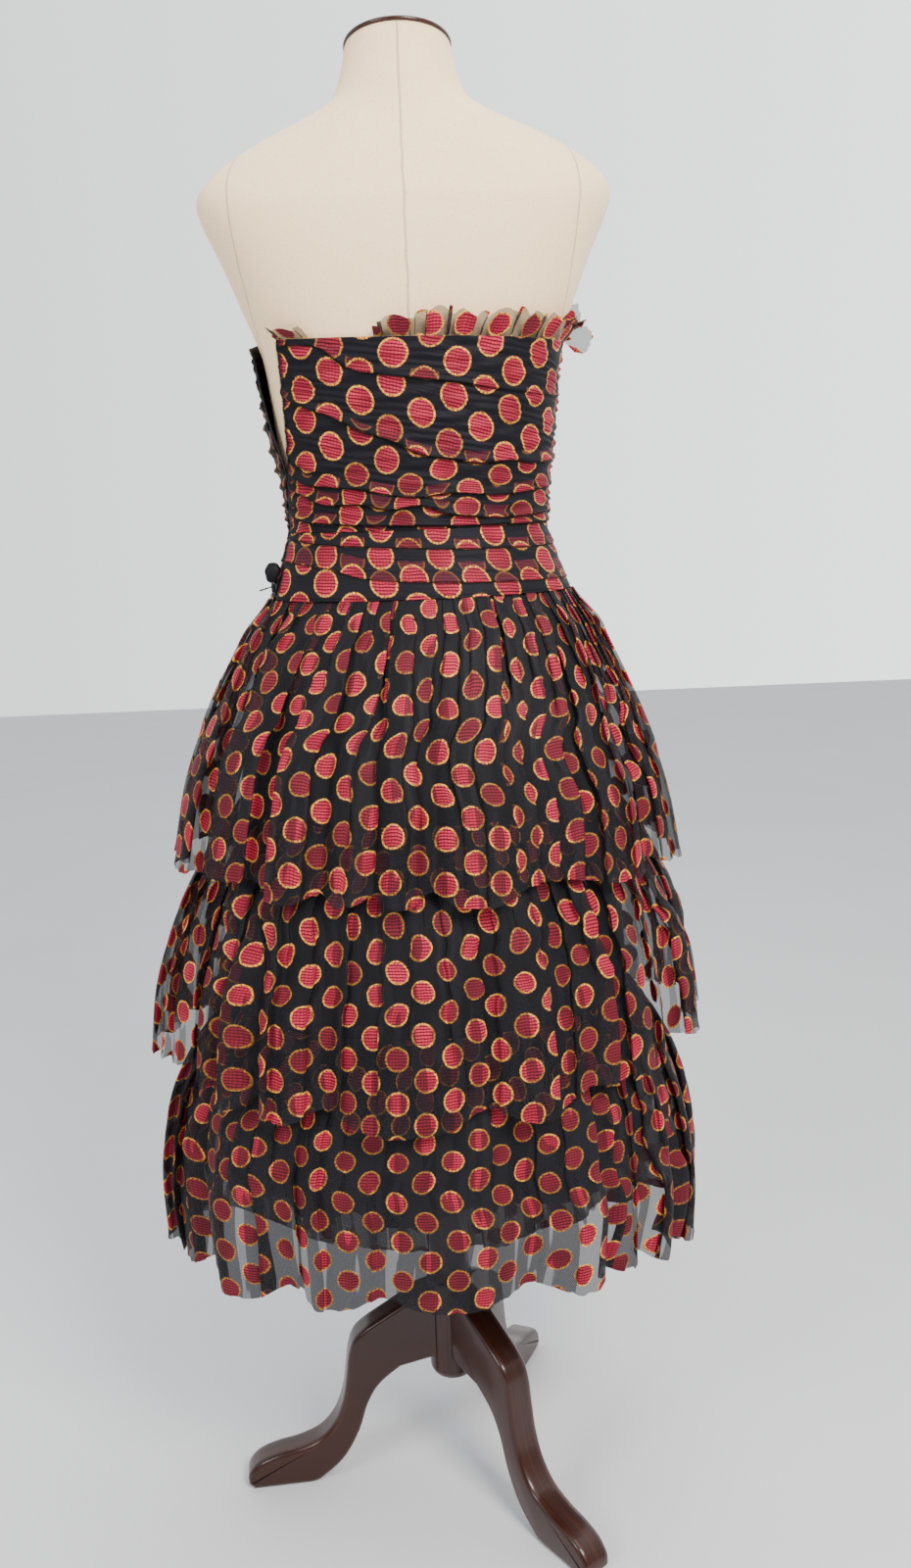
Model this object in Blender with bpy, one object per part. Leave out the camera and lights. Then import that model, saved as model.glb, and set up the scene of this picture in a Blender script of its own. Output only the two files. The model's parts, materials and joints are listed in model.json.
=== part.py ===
"""Strapless party dress with three gathered net tiers, on a limbless dress form with a tripod stand.

Metres, +Z up. The dress's back faces -Y, so its wearer's left is -X. Everything is worked out round the
stand's column and hangs from one empty, which centres the whole over its own footprint.
Angles round the body start at the centre back and grow towards +X, the wearer's right.
"""

import math
from collections import namedtuple

import bmesh
import bpy
from mathutils import Vector

# Driving dimensions
GAP = 0.0003
FORM_BOTTOM = 0.800
NECK_TOP = 1.4925
NECK_TILT = math.tan(math.radians(11))
CAP_THICKNESS = 0.005
CAP_OVERHANG = 0.0012
NECK_BASE = 1.4290
FORM_AROUND = 40

EASE = 0.0028
WAIST_EASE = 0.0009
WAIST_SNUG = 0.0120
CLOTH = 0.0016
BACK_TOP = 1.2215
FRONT_TOP_RISE = 0.034
YOKE_TOP = 1.052
WAIST_SEAM = 0.990
YOKE_THICKNESS = 0.0046
YOKE_ROWS = 4

ZIP_CHAIN = 0.0017
ZIP_GAP = 0.0005
ZIP_HALF_WIDTH = ZIP_GAP / 2 + ZIP_CHAIN + GAP
ZIP_BOTTOM = 0.9960
CHAIN_THICKNESS = 0.0014
SIDE_SEAM_ANGLE = math.radians(91)
BACK_COLUMNS = 16
BACK_ROWS = 26
FRONT_COLUMNS = 20
FRONT_ROWS = 24
SPRING_START = 0.62
FRILL_STEPS = 3
FRILL_THICKNESS = 0.0012
FRILL_SEAT = 0.0002
FRILL_STAND = 0.0035
FRILL_PUFF = 0.0080
FRILL_PUFF_WIDTH = 1.6

NET = 0.0016
AROUND = 96
LINING_AROUND = 60
LINING_THICKNESS = 0.0014

POLE_RADIUS = 0.0215
HUB_RADIUS = 0.0255
HUB_TOP = 0.232
HUB_BOTTOM = 0.112
LEG_HALF_WIDTH = 0.0165
LEG_ANGLES = (185.6, 305.6, 65.6)

# Half width, depth to the back and depth to the front of the form at each height
FormSection = namedtuple("FormSection", "height half_width back front fullness")
FORM = (
    FormSection(1.4925, 0.0495, 0.0500, 0.0500, 2.0),
    FormSection(1.4720, 0.0540, 0.0530, 0.0515, 2.0),
    FormSection(1.4540, 0.0605, 0.0570, 0.0535, 2.0),
    FormSection(1.4420, 0.0700, 0.0590, 0.0550, 2.0),
    FormSection(1.4290, 0.0960, 0.0640, 0.0590, 2.0),
    FormSection(1.4130, 0.1320, 0.0720, 0.0650, 2.0),
    FormSection(1.3960, 0.1630, 0.0810, 0.0720, 2.05),
    FormSection(1.3790, 0.1850, 0.0890, 0.0790, 2.1),
    FormSection(1.3630, 0.1960, 0.0960, 0.0860, 2.2),
    FormSection(1.3450, 0.1940, 0.1035, 0.0950, 2.3),
    FormSection(1.3050, 0.1765, 0.1090, 0.1110, 2.35),
    FormSection(1.2600, 0.1590, 0.1080, 0.1270, 2.3),
    FormSection(1.2200, 0.1440, 0.1030, 0.1370, 2.25),
    FormSection(1.1800, 0.1380, 0.0980, 0.1380, 2.2),
    FormSection(1.1300, 0.1330, 0.0910, 0.1230, 2.15),
    FormSection(1.0900, 0.1275, 0.0860, 0.1080, 2.1),
    FormSection(1.0520, 0.1265, 0.0860, 0.1020, 2.1),
    FormSection(1.0250, 0.1320, 0.0910, 0.1030, 2.1),
    FormSection(0.9850, 0.1450, 0.1000, 0.1070, 2.1),
    FormSection(0.9400, 0.1580, 0.1090, 0.1120, 2.1),
    FormSection(0.8800, 0.1670, 0.1180, 0.1160, 2.1),
    FormSection(0.8000, 0.1650, 0.1170, 0.1140, 2.1),
)

# Where the zip's back chain runs, and how far the undone front edge stands from it
ZipPoint = namedtuple("ZipPoint", "height side open_by spring")
ZIP = (
    ZipPoint(1.2400, 0.1245, 0.0470, 0.0060),
    ZipPoint(1.1900, 0.1225, 0.0310, 0.0070),
    ZipPoint(1.1500, 0.1215, 0.0150, 0.0060),
    ZipPoint(1.1200, 0.1215, 0.0030, 0.0030),
    ZipPoint(1.1000, 0.1220, 0.0000, 0.0005),
    ZipPoint(1.0700, 0.1235, 0.0000, 0.0000),
    ZipPoint(1.0350, 0.1285, 0.0000, 0.0000),
    ZipPoint(0.9850, 0.1400, 0.0000, 0.0000),
)

# Soft folds of the ruched bodice, from its zip side to its right side seam
Fold = namedtuple("Fold", "left right sag depth width")
BACK_FOLDS = (
    Fold(1.203, 1.186, 0.002, 0.0016, 0.0085),
    Fold(1.181, 1.126, 0.004, 0.0030, 0.0100),
    Fold(1.152, 1.108, 0.004, 0.0022, 0.0090),
    Fold(1.118, 1.094, 0.003, 0.0026, 0.0085),
    Fold(1.096, 1.082, 0.002, 0.0024, 0.0075),
    Fold(1.079, 1.070, 0.001, 0.0026, 0.0070),
    Fold(1.064, 1.059, 0.001, 0.0026, 0.0065),
)
FRONT_FOLDS = (
    Fold(1.212, 1.222, 0.004, 0.0018, 0.0100),
    Fold(1.182, 1.196, 0.003, 0.0024, 0.0100),
    Fold(1.160, 1.158, 0.004, 0.0026, 0.0100),
    Fold(1.132, 1.140, 0.003, 0.0024, 0.0095),
    Fold(1.108, 1.112, 0.003, 0.0026, 0.0085),
    Fold(1.086, 1.088, 0.002, 0.0024, 0.0075),
    Fold(1.066, 1.067, 0.001, 0.0026, 0.0065),
)

# Frills on the top edge, each over some of its panel's columns; the front's puffs out at the right seam
Frill = namedtuple("Frill", "name side first last waves height sway puff")
FRILLS = (
    Frill("frill_back", "back", 5, 16, 9, 0.022, 0.0045, 0.0),
    Frill("frill_front", "front", 0, 16, 13, 0.024, 0.0055, FRILL_PUFF),
    Frill("frill_tucked", "back", 0, 2, 2, 0.009, 0.0015, 0.0),
)

# A skirt layer's wall from its top edge to its hem; shift moves a ring to the side, as the skirt hangs
TierLevel = namedtuple("TierLevel", "height half_width back front shift gather flute")
TIER_1 = (
    TierLevel(0.9880, 0.1502, 0.1062, 0.1130, 0.0000, 0.0000, 0.0000),
    TierLevel(0.9450, 0.1750, 0.1350, 0.1340, -0.0010, 0.0028, 0.0015),
    TierLevel(0.8800, 0.2065, 0.1640, 0.1530, -0.0030, 0.0022, 0.0055),
    TierLevel(0.7980, 0.2370, 0.1890, 0.1700, -0.0040, 0.0012, 0.0090),
    TierLevel(0.7160, 0.2520, 0.2050, 0.1810, -0.0050, 0.0000, 0.0115),
)
TIER_2 = (
    TierLevel(0.7800, 0.1940, 0.1480, 0.1360, -0.0030, 0.0000, 0.0000),
    TierLevel(0.7480, 0.2110, 0.1670, 0.1500, -0.0040, 0.0020, 0.0020),
    TierLevel(0.6850, 0.2430, 0.1960, 0.1730, -0.0070, 0.0020, 0.0060),
    TierLevel(0.6000, 0.2690, 0.2170, 0.1860, -0.0095, 0.0010, 0.0100),
    TierLevel(0.5120, 0.2790, 0.2260, 0.1910, -0.0105, 0.0000, 0.0130),
)
TIER_3 = (
    TierLevel(0.5750, 0.2110, 0.1630, 0.1450, -0.0070, 0.0000, 0.0000),
    TierLevel(0.5400, 0.2330, 0.1860, 0.1600, -0.0085, 0.0020, 0.0020),
    TierLevel(0.4740, 0.2630, 0.2100, 0.1700, -0.0105, 0.0020, 0.0060),
    TierLevel(0.3820, 0.2780, 0.2170, 0.1670, -0.0110, 0.0010, 0.0110),
    TierLevel(0.2750, 0.2760, 0.2120, 0.1550, -0.0110, 0.0000, 0.0140),
)
LINING = (
    TierLevel(0.9880, 0.1485, 0.1043, 0.1110, 0.0000, 0.0000, 0.0000),
    TierLevel(0.9000, 0.1730, 0.1250, 0.1230, -0.0010, 0.0000, 0.0004),
    TierLevel(0.7800, 0.1920, 0.1460, 0.1340, -0.0030, 0.0000, 0.0000),
    TierLevel(0.5750, 0.2090, 0.1610, 0.1430, -0.0070, 0.0000, 0.0000),
    TierLevel(0.3850, 0.2230, 0.1700, 0.1400, -0.0100, 0.0000, 0.0060),
)

# How each hem runs: its folds, their unevenness, and how far it lifts at the back, front and sides
Hem = namedtuple("Hem", "flutes gathers phase back front left right ripple")
HEM_1 = Hem(16, 32, 0.6, 0.006, 0.000, 0.016, 0.006, 0.006)
HEM_2 = Hem(17, 32, 2.1, 0.000, -0.014, 0.026, 0.034, 0.007)
HEM_3 = Hem(18, 32, 4.0, 0.048, -0.107, 0.040, 0.042, 0.009)
HEM_LINING = Hem(9, 0, 1.2, 0.004, 0.000, 0.000, 0.006, 0.006)

# Outline of a leg in its own upright plane: distance from the column's axis, and height
LegPoint = namedtuple("LegPoint", "reach height")
LEG_TOP = (
    LegPoint(0.046, 0.2140), LegPoint(0.075, 0.1970), LegPoint(0.098, 0.1830), LegPoint(0.111, 0.1710),
    LegPoint(0.118, 0.1520), LegPoint(0.122, 0.1250), LegPoint(0.127, 0.0980), LegPoint(0.137, 0.0730),
    LegPoint(0.154, 0.0540), LegPoint(0.178, 0.0440), LegPoint(0.203, 0.0390), LegPoint(0.224, 0.0310),
    LegPoint(0.236, 0.0180), LegPoint(0.237, 0.0060),
)
LEG_UNDERSIDE = (
    LegPoint(0.231, 0.0000), LegPoint(0.168, 0.0000), LegPoint(0.148, 0.0090), LegPoint(0.127, 0.0280),
    LegPoint(0.110, 0.0580), LegPoint(0.099, 0.0900), LegPoint(0.084, 0.1140), LegPoint(0.058, 0.1340),
)
LEG_ROOT_TOP = 0.2260
LEG_ROOT_BOTTOM = 0.1400

# Fittings at the zip's foot
SLIDER = Vector((0.0042, 0.0066, 0.0100))
SLIDER_LIFT = 0.006
PULL = Vector((0.0120, 0.0034, 0.0014))
PULL_DROOP = math.radians(14)
BOW_TOP = 1.0230
BOW_BOTTOM = 1.0040
BOW_SIDE = 0.0030
BOW_REACH = 0.0110
BOW_WIDTH = 0.0110
BOW_THICKNESS = 0.0016


def clear_scene():
    for thing in list(bpy.data.objects):
        bpy.data.objects.remove(thing, do_unlink=True)


def make_material(name, colour, roughness, metallic=0.0):
    material = bpy.data.materials.new(name)
    material.use_nodes = True
    shader = material.node_tree.nodes["Principled BSDF"]
    shader.inputs["Base Color"].default_value = (*colour, 1.0)
    shader.inputs["Roughness"].default_value = roughness
    shader.inputs["Metallic"].default_value = metallic
    return material


def read_table(rows, height):
    """The row of a table at any height, by a smooth curve through its rows, which run downwards."""
    kind = type(rows[0])
    if height >= rows[0].height:
        return rows[0]
    if height <= rows[-1].height:
        return rows[-1]
    k = next(i for i in range(len(rows) - 1) if rows[i + 1].height <= height)
    p0, p1, p2, p3 = rows[max(k - 1, 0)], rows[k], rows[k + 1], rows[min(k + 2, len(rows) - 1)]
    span = p2.height - p1.height
    t = (height - p1.height) / span
    values = []
    for a, b, c, d in zip(p0, p1, p2, p3):
        before = (c - a) / ((p2.height - p0.height) / span) if p2.height != p0.height else 0.0
        after = (d - b) / ((p3.height - p1.height) / span)
        values.append(
            b * (1 + 2 * t) * (1 - t) ** 2 + before * t * (1 - t) ** 2
            + c * t * t * (3 - 2 * t) + after * t * t * (t - 1)
        )
    return kind(*values)


def rounded_power(value, power):
    return math.copysign(abs(value) ** power, value)


def oval(angle, half_width, back, front, fullness=2.0):
    """A point of an egg-shaped section; angle 0 is the centre back."""
    depth = back if math.cos(angle) > 0 else front
    x = half_width * rounded_power(math.sin(angle), 2.0 / fullness)
    y = -depth * rounded_power(math.cos(angle), 2.0 / fullness)
    return x, y


def on_form(angle, height, off=0.0):
    """A point of the form's surface, or of a surface that lies off it."""
    at = read_table(FORM, height)
    x, y = oval(angle, at.half_width + off, at.back + off, at.front + off, at.fullness)
    return Vector((x, y, height))


def ease(height):
    """The cloth's clearance from the form: it sits close at the waist, where the form carries it."""
    return EASE - (EASE - WAIST_EASE) * math.exp(-((height - YOKE_TOP) / WAIST_SNUG) ** 2)


def angle_at_side(height, side, off):
    """The angle on the wearer's left where the surface passes a distance to that side, behind."""
    at = read_table(FORM, height)
    share = min(side / (at.half_width + off), 0.995)
    return -math.asin(share ** (at.fullness / 2.0))


def new_object(name, bm, material, smooth=True):
    mesh = bpy.data.meshes.new(name)
    bm.to_mesh(mesh)
    bm.free()
    if smooth:
        mesh.shade_smooth()
        mesh.set_sharp_from_angle(angle=math.radians(40))
    mesh.materials.append(material)
    thing = bpy.data.objects.new(name, mesh)
    bpy.context.scene.collection.objects.link(thing)
    return thing


def make_wall(name, outer, inner, material, closed):
    """A cloth wall from rows of outer and inner points; the rows run downwards and round towards +X."""
    bm = bmesh.new()
    out_rows = [[bm.verts.new(p) for p in row] for row in outer]
    in_rows = [[bm.verts.new(p) for p in row] for row in inner]
    count = len(outer[0])
    last = count if closed else count - 1
    for r in range(len(outer) - 1):
        for c in range(last):
            d = (c + 1) % count
            bm.faces.new((out_rows[r][c], out_rows[r + 1][c], out_rows[r + 1][d], out_rows[r][d]))
            bm.faces.new((in_rows[r][c], in_rows[r][d], in_rows[r + 1][d], in_rows[r + 1][c]))
    for c in range(last):
        d = (c + 1) % count
        bm.faces.new((in_rows[0][c], out_rows[0][c], out_rows[0][d], in_rows[0][d]))
        bm.faces.new((out_rows[-1][c], in_rows[-1][c], in_rows[-1][d], out_rows[-1][d]))
    if not closed:
        for r in range(len(outer) - 1):
            bm.faces.new((out_rows[r][0], in_rows[r][0], in_rows[r + 1][0], out_rows[r + 1][0]))
            bm.faces.new((out_rows[r][-1], out_rows[r + 1][-1], in_rows[r + 1][-1], in_rows[r][-1]))
    return new_object(name, bm, material)


def make_loft(name, rings, material):
    """A solid through rings that run downwards and round towards +X, closed flat at both ends."""
    bm = bmesh.new()
    rows = [[bm.verts.new(p) for p in ring] for ring in rings]
    count = len(rings[0])
    for r in range(len(rows) - 1):
        for c in range(count):
            d = (c + 1) % count
            bm.faces.new((rows[r][c], rows[r + 1][c], rows[r + 1][d], rows[r][d]))
    bm.faces.new(list(rows[0]))
    bm.faces.new(list(reversed(rows[-1])))
    return new_object(name, bm, material)


def turned(name, profile, sides, material):
    """A turned solid about the column's axis; the profile's points are radius and height, downwards."""
    rings = [
        [Vector((r * math.sin(2 * math.pi * k / sides), -r * math.cos(2 * math.pi * k / sides), z))
         for k in range(sides)]
        for r, z in profile
    ]
    return make_loft(name, rings, material)


def slanted(point, share):
    """Tips a ring forward, as the neck's top is."""
    return Vector((point.x, point.y, point.z - NECK_TILT * share * point.y))


def make_form(linen):
    rings = []
    for row in FORM:
        share = max(0.0, (row.height - NECK_BASE) / (NECK_TOP - NECK_BASE))
        ring = [on_form(2 * math.pi * k / FORM_AROUND, row.height) for k in range(FORM_AROUND)]
        rings.append([slanted(p, share) for p in ring])
    return make_loft("form_torso", rings, linen)


def make_neck_cap(wood):
    rings = []
    for lift, grow in ((CAP_THICKNESS, -0.0015), (CAP_THICKNESS * 0.7, CAP_OVERHANG),
                       (GAP * 4, CAP_OVERHANG), (GAP, -0.0005)):
        ring = [on_form(2 * math.pi * k / FORM_AROUND, NECK_TOP, grow) for k in range(FORM_AROUND)]
        rings.append([slanted(p, 1.0) + Vector((0, 0, lift)) for p in ring])
    return make_loft("neck_cap", rings, wood)


def zip_at(height):
    return read_table(ZIP, height)


def arc_angle(height, off, angle, distance):
    """The angle that a short distance round the body takes at this place."""
    here = on_form(angle, height, off)
    step = math.radians(0.5)
    length = (on_form(angle + step, height, off) - here).length
    return distance / length * step


def back_edge_angle(height, off=EASE):
    middle = angle_at_side(height, zip_at(height).side, off)
    return middle + arc_angle(height, off, middle, ZIP_HALF_WIDTH)


def front_edge_angle(height, off=EASE):
    middle = angle_at_side(height, zip_at(height).side, off)
    return middle - arc_angle(height, off, middle, ZIP_HALF_WIDTH + zip_at(height).open_by)


def fold_height(fold, share):
    return fold.left + (fold.right - fold.left) * share - fold.sag * 4 * share * (1 - share)


def ruching(folds, share, height):
    """How far the ruched net stands out: each fold is round above and tucked in sharply below."""
    out = 0.0
    for fold in folds:
        across = (height - fold_height(fold, share)) / fold.width
        if -0.45 < across < 1.0:
            shape = math.cos(across * math.pi / 2) if across >= 0 else math.cos(across * math.pi / 0.9)
            out = max(out, fold.depth * shape)
    return out


def front_top(share):
    """The front's top edge, which rises over the bust."""
    return BACK_TOP + 0.004 + FRONT_TOP_RISE * math.sin(math.pi * share) ** 1.5


def back_top(share):
    return BACK_TOP + 0.0075 * (1 - share) ** 2


def panel_top(side, share):
    return back_top(share) if side == "back" else front_top(share)


def panel_angle(side, share, height):
    if side == "back":
        start, end = back_edge_angle(height), SIDE_SEAM_ANGLE - GAP
    else:
        start, end = SIDE_SEAM_ANGLE + GAP * 4, 2 * math.pi + front_edge_angle(height)
    return start + (end - start) * share


def stand_off(side, share, height):
    """Extra room under the front where its undone edge springs away from the form."""
    if side == "back":
        return 0.0
    near_edge = max(0.0, (share - SPRING_START) / (1 - SPRING_START))
    return zip_at(height).spring * near_edge ** 1.6


def bodice_point(side, share, height, folds, out):
    angle = panel_angle(side, share, height)
    off = ease(height) + stand_off(side, share, height)
    if out:
        edge_ease = min(1.0, min(share, 1 - share) * 9 + 0.25)
        top = panel_top(side, share)
        near_rim = min(1.0, max(0.0, (top - height) / 0.010), max(0.0, (height - YOKE_TOP) / 0.006))
        fold_share = share if side == "back" else 1 - share
        off += CLOTH + ruching(folds, fold_share, height) * edge_ease * near_rim
    return on_form(angle, height, off)


def make_bodice_panel(name, side, columns, rows, folds, net):
    outer, inner = [], []
    for r in range(rows + 1):
        outer_row, inner_row = [], []
        for c in range(columns + 1):
            share = c / columns
            height = panel_heights(panel_top(side, share), rows)[r]
            outer_row.append(bodice_point(side, share, height, folds, True))
            inner_row.append(bodice_point(side, share, height, folds, False))
        outer.append(outer_row)
        inner.append(inner_row)
    return make_wall(name, outer, inner, net, closed=False)


def yoke_off(height):
    """The yoke's outer face, from under the ruching's last fold to its stitched lower edge."""
    share = (YOKE_TOP - height) / (YOKE_TOP - WAIST_SEAM)
    return ease(height) + CLOTH + (YOKE_THICKNESS - CLOTH) * share ** 1.5


def make_yoke(name, side, columns, net):
    outer, inner = [], []
    for height in yoke_heights():
        row = [panel_angle(side, c / columns, height) for c in range(columns + 1)]
        outer.append([on_form(a, height, yoke_off(height)) for a in row])
        inner.append([on_form(a, height, ease(height)) for a in row])
    return make_wall(name, outer, inner, net, closed=False)


def panel_heights(top, rows):
    return [top + (YOKE_TOP + GAP - top) * r / rows for r in range(rows + 1)]


def yoke_heights():
    return [YOKE_TOP - (YOKE_TOP - WAIST_SEAM) * k / YOKE_ROWS for k in range(YOKE_ROWS + 1)]


def make_zip_chain(name, side, top, rows, material):
    """Half of the zip's chain, with the same rows as the cut edge that it is sewn to."""
    outer, inner = [], []
    for height in panel_heights(top, rows) + yoke_heights()[1:-1] + [ZIP_BOTTOM]:
        cloth = back_edge_angle(height) if side == "back" else front_edge_angle(height)
        off = ease(height) + stand_off(side, 1.0, height)
        step = arc_angle(height, off, cloth, 1.0)
        near, far = GAP * step, (GAP + ZIP_CHAIN) * step
        start, end = (cloth - far, cloth - near) if side == "back" else (cloth + near, cloth + far)
        outer.append([on_form(angle, height, off + CHAIN_THICKNESS) for angle in (start, end)])
        inner.append([on_form(angle, height, off) for angle in (start, end)])
    return make_wall(name, outer, inner, material, closed=False)


def uneven(angle, hem):
    """The angle as the hem's folds see it, so that they come wider and narrower."""
    return angle + 0.16 * math.sin(3 * angle + hem.phase) + 0.09 * math.sin(5 * angle + 2 * hem.phase)


def flute_wave(angle, hem):
    """Folds of a hem: broad round lobes and narrower troughs, some deeper than others."""
    turn = uneven(angle, hem) * hem.flutes
    wave = math.cos(turn) - 0.22 * math.cos(2 * turn)
    return wave * (0.80 + 0.20 * math.sin(2 * angle + hem.phase) + 0.12 * math.sin(7 * angle))


def gather_wave(step, around, hem):
    """Small gathers under a seam: one sharp crest for every few points of the ring."""
    if not hem.gathers:
        return 0.0
    return math.cos(2 * math.pi * step * hem.gathers / around)


def hem_shift(angle, share, hem):
    """How much higher than its table row a point lies; it grows towards the hem."""
    behind, aside = math.cos(angle), math.sin(angle)
    level = (hem.back if behind > 0 else hem.front) * behind ** 2
    level += (hem.right if aside > 0 else hem.left) * aside ** 2
    return share ** 1.6 * (level - hem.ripple * flute_wave(angle, hem) * share)


def skirt_rows(levels, hem, around, thickness):
    top, bottom = levels[0].height, levels[-1].height
    outer, inner = [], []
    for level in levels:
        share = (top - level.height) / (top - bottom)
        outer_row, inner_row = [], []
        for k in range(around):
            angle = 2 * math.pi * k / around
            fold = level.gather * gather_wave(k, around, hem) + level.flute * flute_wave(angle, hem)
            height = level.height + hem_shift(angle, share, hem)
            for row, less in ((outer_row, 0.0), (inner_row, thickness)):
                size = fold - less
                x, y = oval(angle, level.half_width + size, level.back + size, level.front + size)
                row.append(Vector((x + level.shift, y, height)))
        outer.append(outer_row)
        inner.append(inner_row)
    return outer, inner


def make_skirt_layer(name, levels, hem, around, thickness, material):
    outer, inner = skirt_rows(levels, hem, around, thickness)
    return make_wall(name, outer, inner, material, closed=True)


def rim_point(side, step, columns, off):
    """A point of a panel's top rim; the rim runs straight from one of its columns to the next."""
    column, part = divmod(step, FRILL_STEPS)
    ends = []
    for c in (column, min(column + 1, columns)):
        top = panel_top(side, c / columns)
        stand = ease(top) + stand_off(side, c / columns, top) + off
        ends.append(on_form(panel_angle(side, c / columns, top), top, stand))
    return ends[0].lerp(ends[1], part / FRILL_STEPS)


def make_frill(frill, columns, net):
    """A net frill on the bodice's top edge, straight where it is sewn and waved where it stands free."""
    side = frill.side
    steps = range(frill.first * FRILL_STEPS, frill.last * FRILL_STEPS + 1)
    outer, inner = [], []
    for level in (1.0, 0.5, 0.0):
        outer_row, inner_row = [], []
        for step in steps:
            turn = 2 * math.pi * frill.waves * (step - steps[0]) / (len(steps) - 1)
            wave = math.cos(turn + 0.7 * math.sin(turn / 3.1)) * (0.75 + 0.25 * math.sin(turn / 2.3 + 1.0))
            puff = frill.puff * math.exp(-((step / FRILL_STEPS / FRILL_PUFF_WIDTH) ** 2))
            away = level * (FRILL_STAND + puff + frill.sway * wave)
            rise = GAP + level * frill.height * (0.85 + 0.15 * math.sin(turn / 1.7))
            seat = rim_point(side, step, columns, FRILL_SEAT)
            out = (rim_point(side, step, columns, CLOTH) - seat).normalized()
            angle = panel_angle(side, step / FRILL_STEPS / columns, seat.z)
            lean = on_form(angle, seat.z + rise) - on_form(angle, seat.z)
            inner_row.append(seat + lean + out * away)
            outer_row.append(seat + lean + out * (away + FRILL_THICKNESS))
        outer.append(outer_row)
        inner.append(inner_row)
    return make_wall(frill.name, outer, inner, net, closed=False)


def make_column(wood):
    hub = turned(
        "stand_hub",
        ((HUB_RADIUS * 0.90, HUB_TOP), (HUB_RADIUS, HUB_TOP - 0.003), (HUB_RADIUS, HUB_BOTTOM + 0.014),
         (HUB_RADIUS * 0.93, HUB_BOTTOM + 0.006), (HUB_RADIUS * 0.62, HUB_BOTTOM + 0.0012),
         (HUB_RADIUS * 0.30, HUB_BOTTOM)),
        32, wood,
    )
    pole = turned(
        "stand_pole",
        ((POLE_RADIUS, FORM_BOTTOM - GAP), (POLE_RADIUS, (FORM_BOTTOM + HUB_TOP) / 2),
         (POLE_RADIUS, HUB_TOP + GAP)),
        28, wood,
    )
    return [hub, pole]


def inset_outline(points, inset):
    """Moves each point of a closed outline inwards by the inset, along the corner's own direction."""
    count = len(points)
    moved = []
    for k, point in enumerate(points):
        before = (point - points[k - 1]).normalized()
        after = (points[(k + 1) % count] - point).normalized()
        inward = Vector((before.y + after.y, -(before.x + after.x))).normalized()
        moved.append(point + inward * inset)
    return moved


def make_leg(number, turn, wood):
    """A sawn leg: its outline at eight stations across its width, rounded at both faces."""
    outline = [Vector((p.reach, p.height)) for p in LEG_TOP + LEG_UNDERSIDE]
    stations = ((-1.0, 0.0058), (-0.93, 0.0026), (-0.7, 0.0), (-0.25, 0.0), (0.25, 0.0), (0.7, 0.0),
                (0.93, 0.0026), (1.0, 0.0058))
    radial = Vector((math.cos(turn), math.sin(turn), 0))
    across = Vector((-math.sin(turn), math.cos(turn), 0))
    bm = bmesh.new()
    sections = []
    for share, inset in stations:
        side = share * LEG_HALF_WIDTH
        root = math.sqrt((HUB_RADIUS + 2 * GAP) ** 2 - side ** 2)
        ends = [Vector((root, LEG_ROOT_BOTTOM + inset)), Vector((root, LEG_ROOT_TOP - inset))]
        flat = ends + inset_outline(outline, inset)
        sections.append([
            bm.verts.new(radial * p.x + across * side + Vector((0, 0, max(p.y, 0.0)))) for p in flat
        ])
    count = len(sections[0])
    for a, b in zip(sections, sections[1:]):
        for k in range(count):
            j = (k + 1) % count
            bm.faces.new((a[k], b[k], b[j], a[j]))
    bm.faces.new(list(sections[0]))
    bm.faces.new(list(reversed(sections[-1])))
    bmesh.ops.recalc_face_normals(bm, faces=bm.faces)
    return new_object(f"stand_leg_{number}", bm, wood)


def make_block(name, size, place, material, bevel):
    """A small block with rounded edges; place turns it and moves it to its seat."""
    bm = bmesh.new()
    bmesh.ops.create_cube(bm, size=1.0)
    bmesh.ops.scale(bm, vec=size, verts=bm.verts)
    bmesh.ops.bevel(bm, geom=bm.edges, offset=bevel, segments=1, affect="EDGES")
    thing = new_object(name, bm, material)
    thing.location, thing.rotation_euler = place
    return thing


def outward(angle, height):
    """The level way out from the form at a place."""
    out = on_form(angle, height, EASE) - on_form(angle, height)
    return Vector((out.x, out.y, 0)).normalized()


def zip_foot():
    """The middle of the zip's foot on the yoke's surface, and the way out from it."""
    height = ZIP_BOTTOM - 0.001
    middle = angle_at_side(height, zip_at(height).side, EASE)
    near = on_form(middle, height, yoke_off(height))
    return near, outward(middle, height)


def make_zip_foot(metal):
    """The slider at the zip's foot and the pull tab that hangs on it."""
    foot, out = zip_foot()
    heading = math.atan2(out.y, out.x)
    seat = foot + out * (SLIDER.x / 2 + GAP) + Vector((0, 0, SLIDER_LIFT))
    slider = make_block("zip_slider", SLIDER, (seat, (0, 0, heading)), metal, 0.0008)
    hinge = seat + out * (SLIDER.x / 2 + GAP)
    pivot = bpy.data.objects.new("pull_hinge", None)
    pivot.location = hinge
    pivot.rotation_euler = (0, PULL_DROOP, heading)
    bpy.context.scene.collection.objects.link(pivot)
    tab = make_block("zip_pull", PULL, (Vector((PULL.x / 2, 0, 0)), (0, 0, 0)), metal, 0.0004)
    tab.parent = pivot
    return slider, pivot


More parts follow.
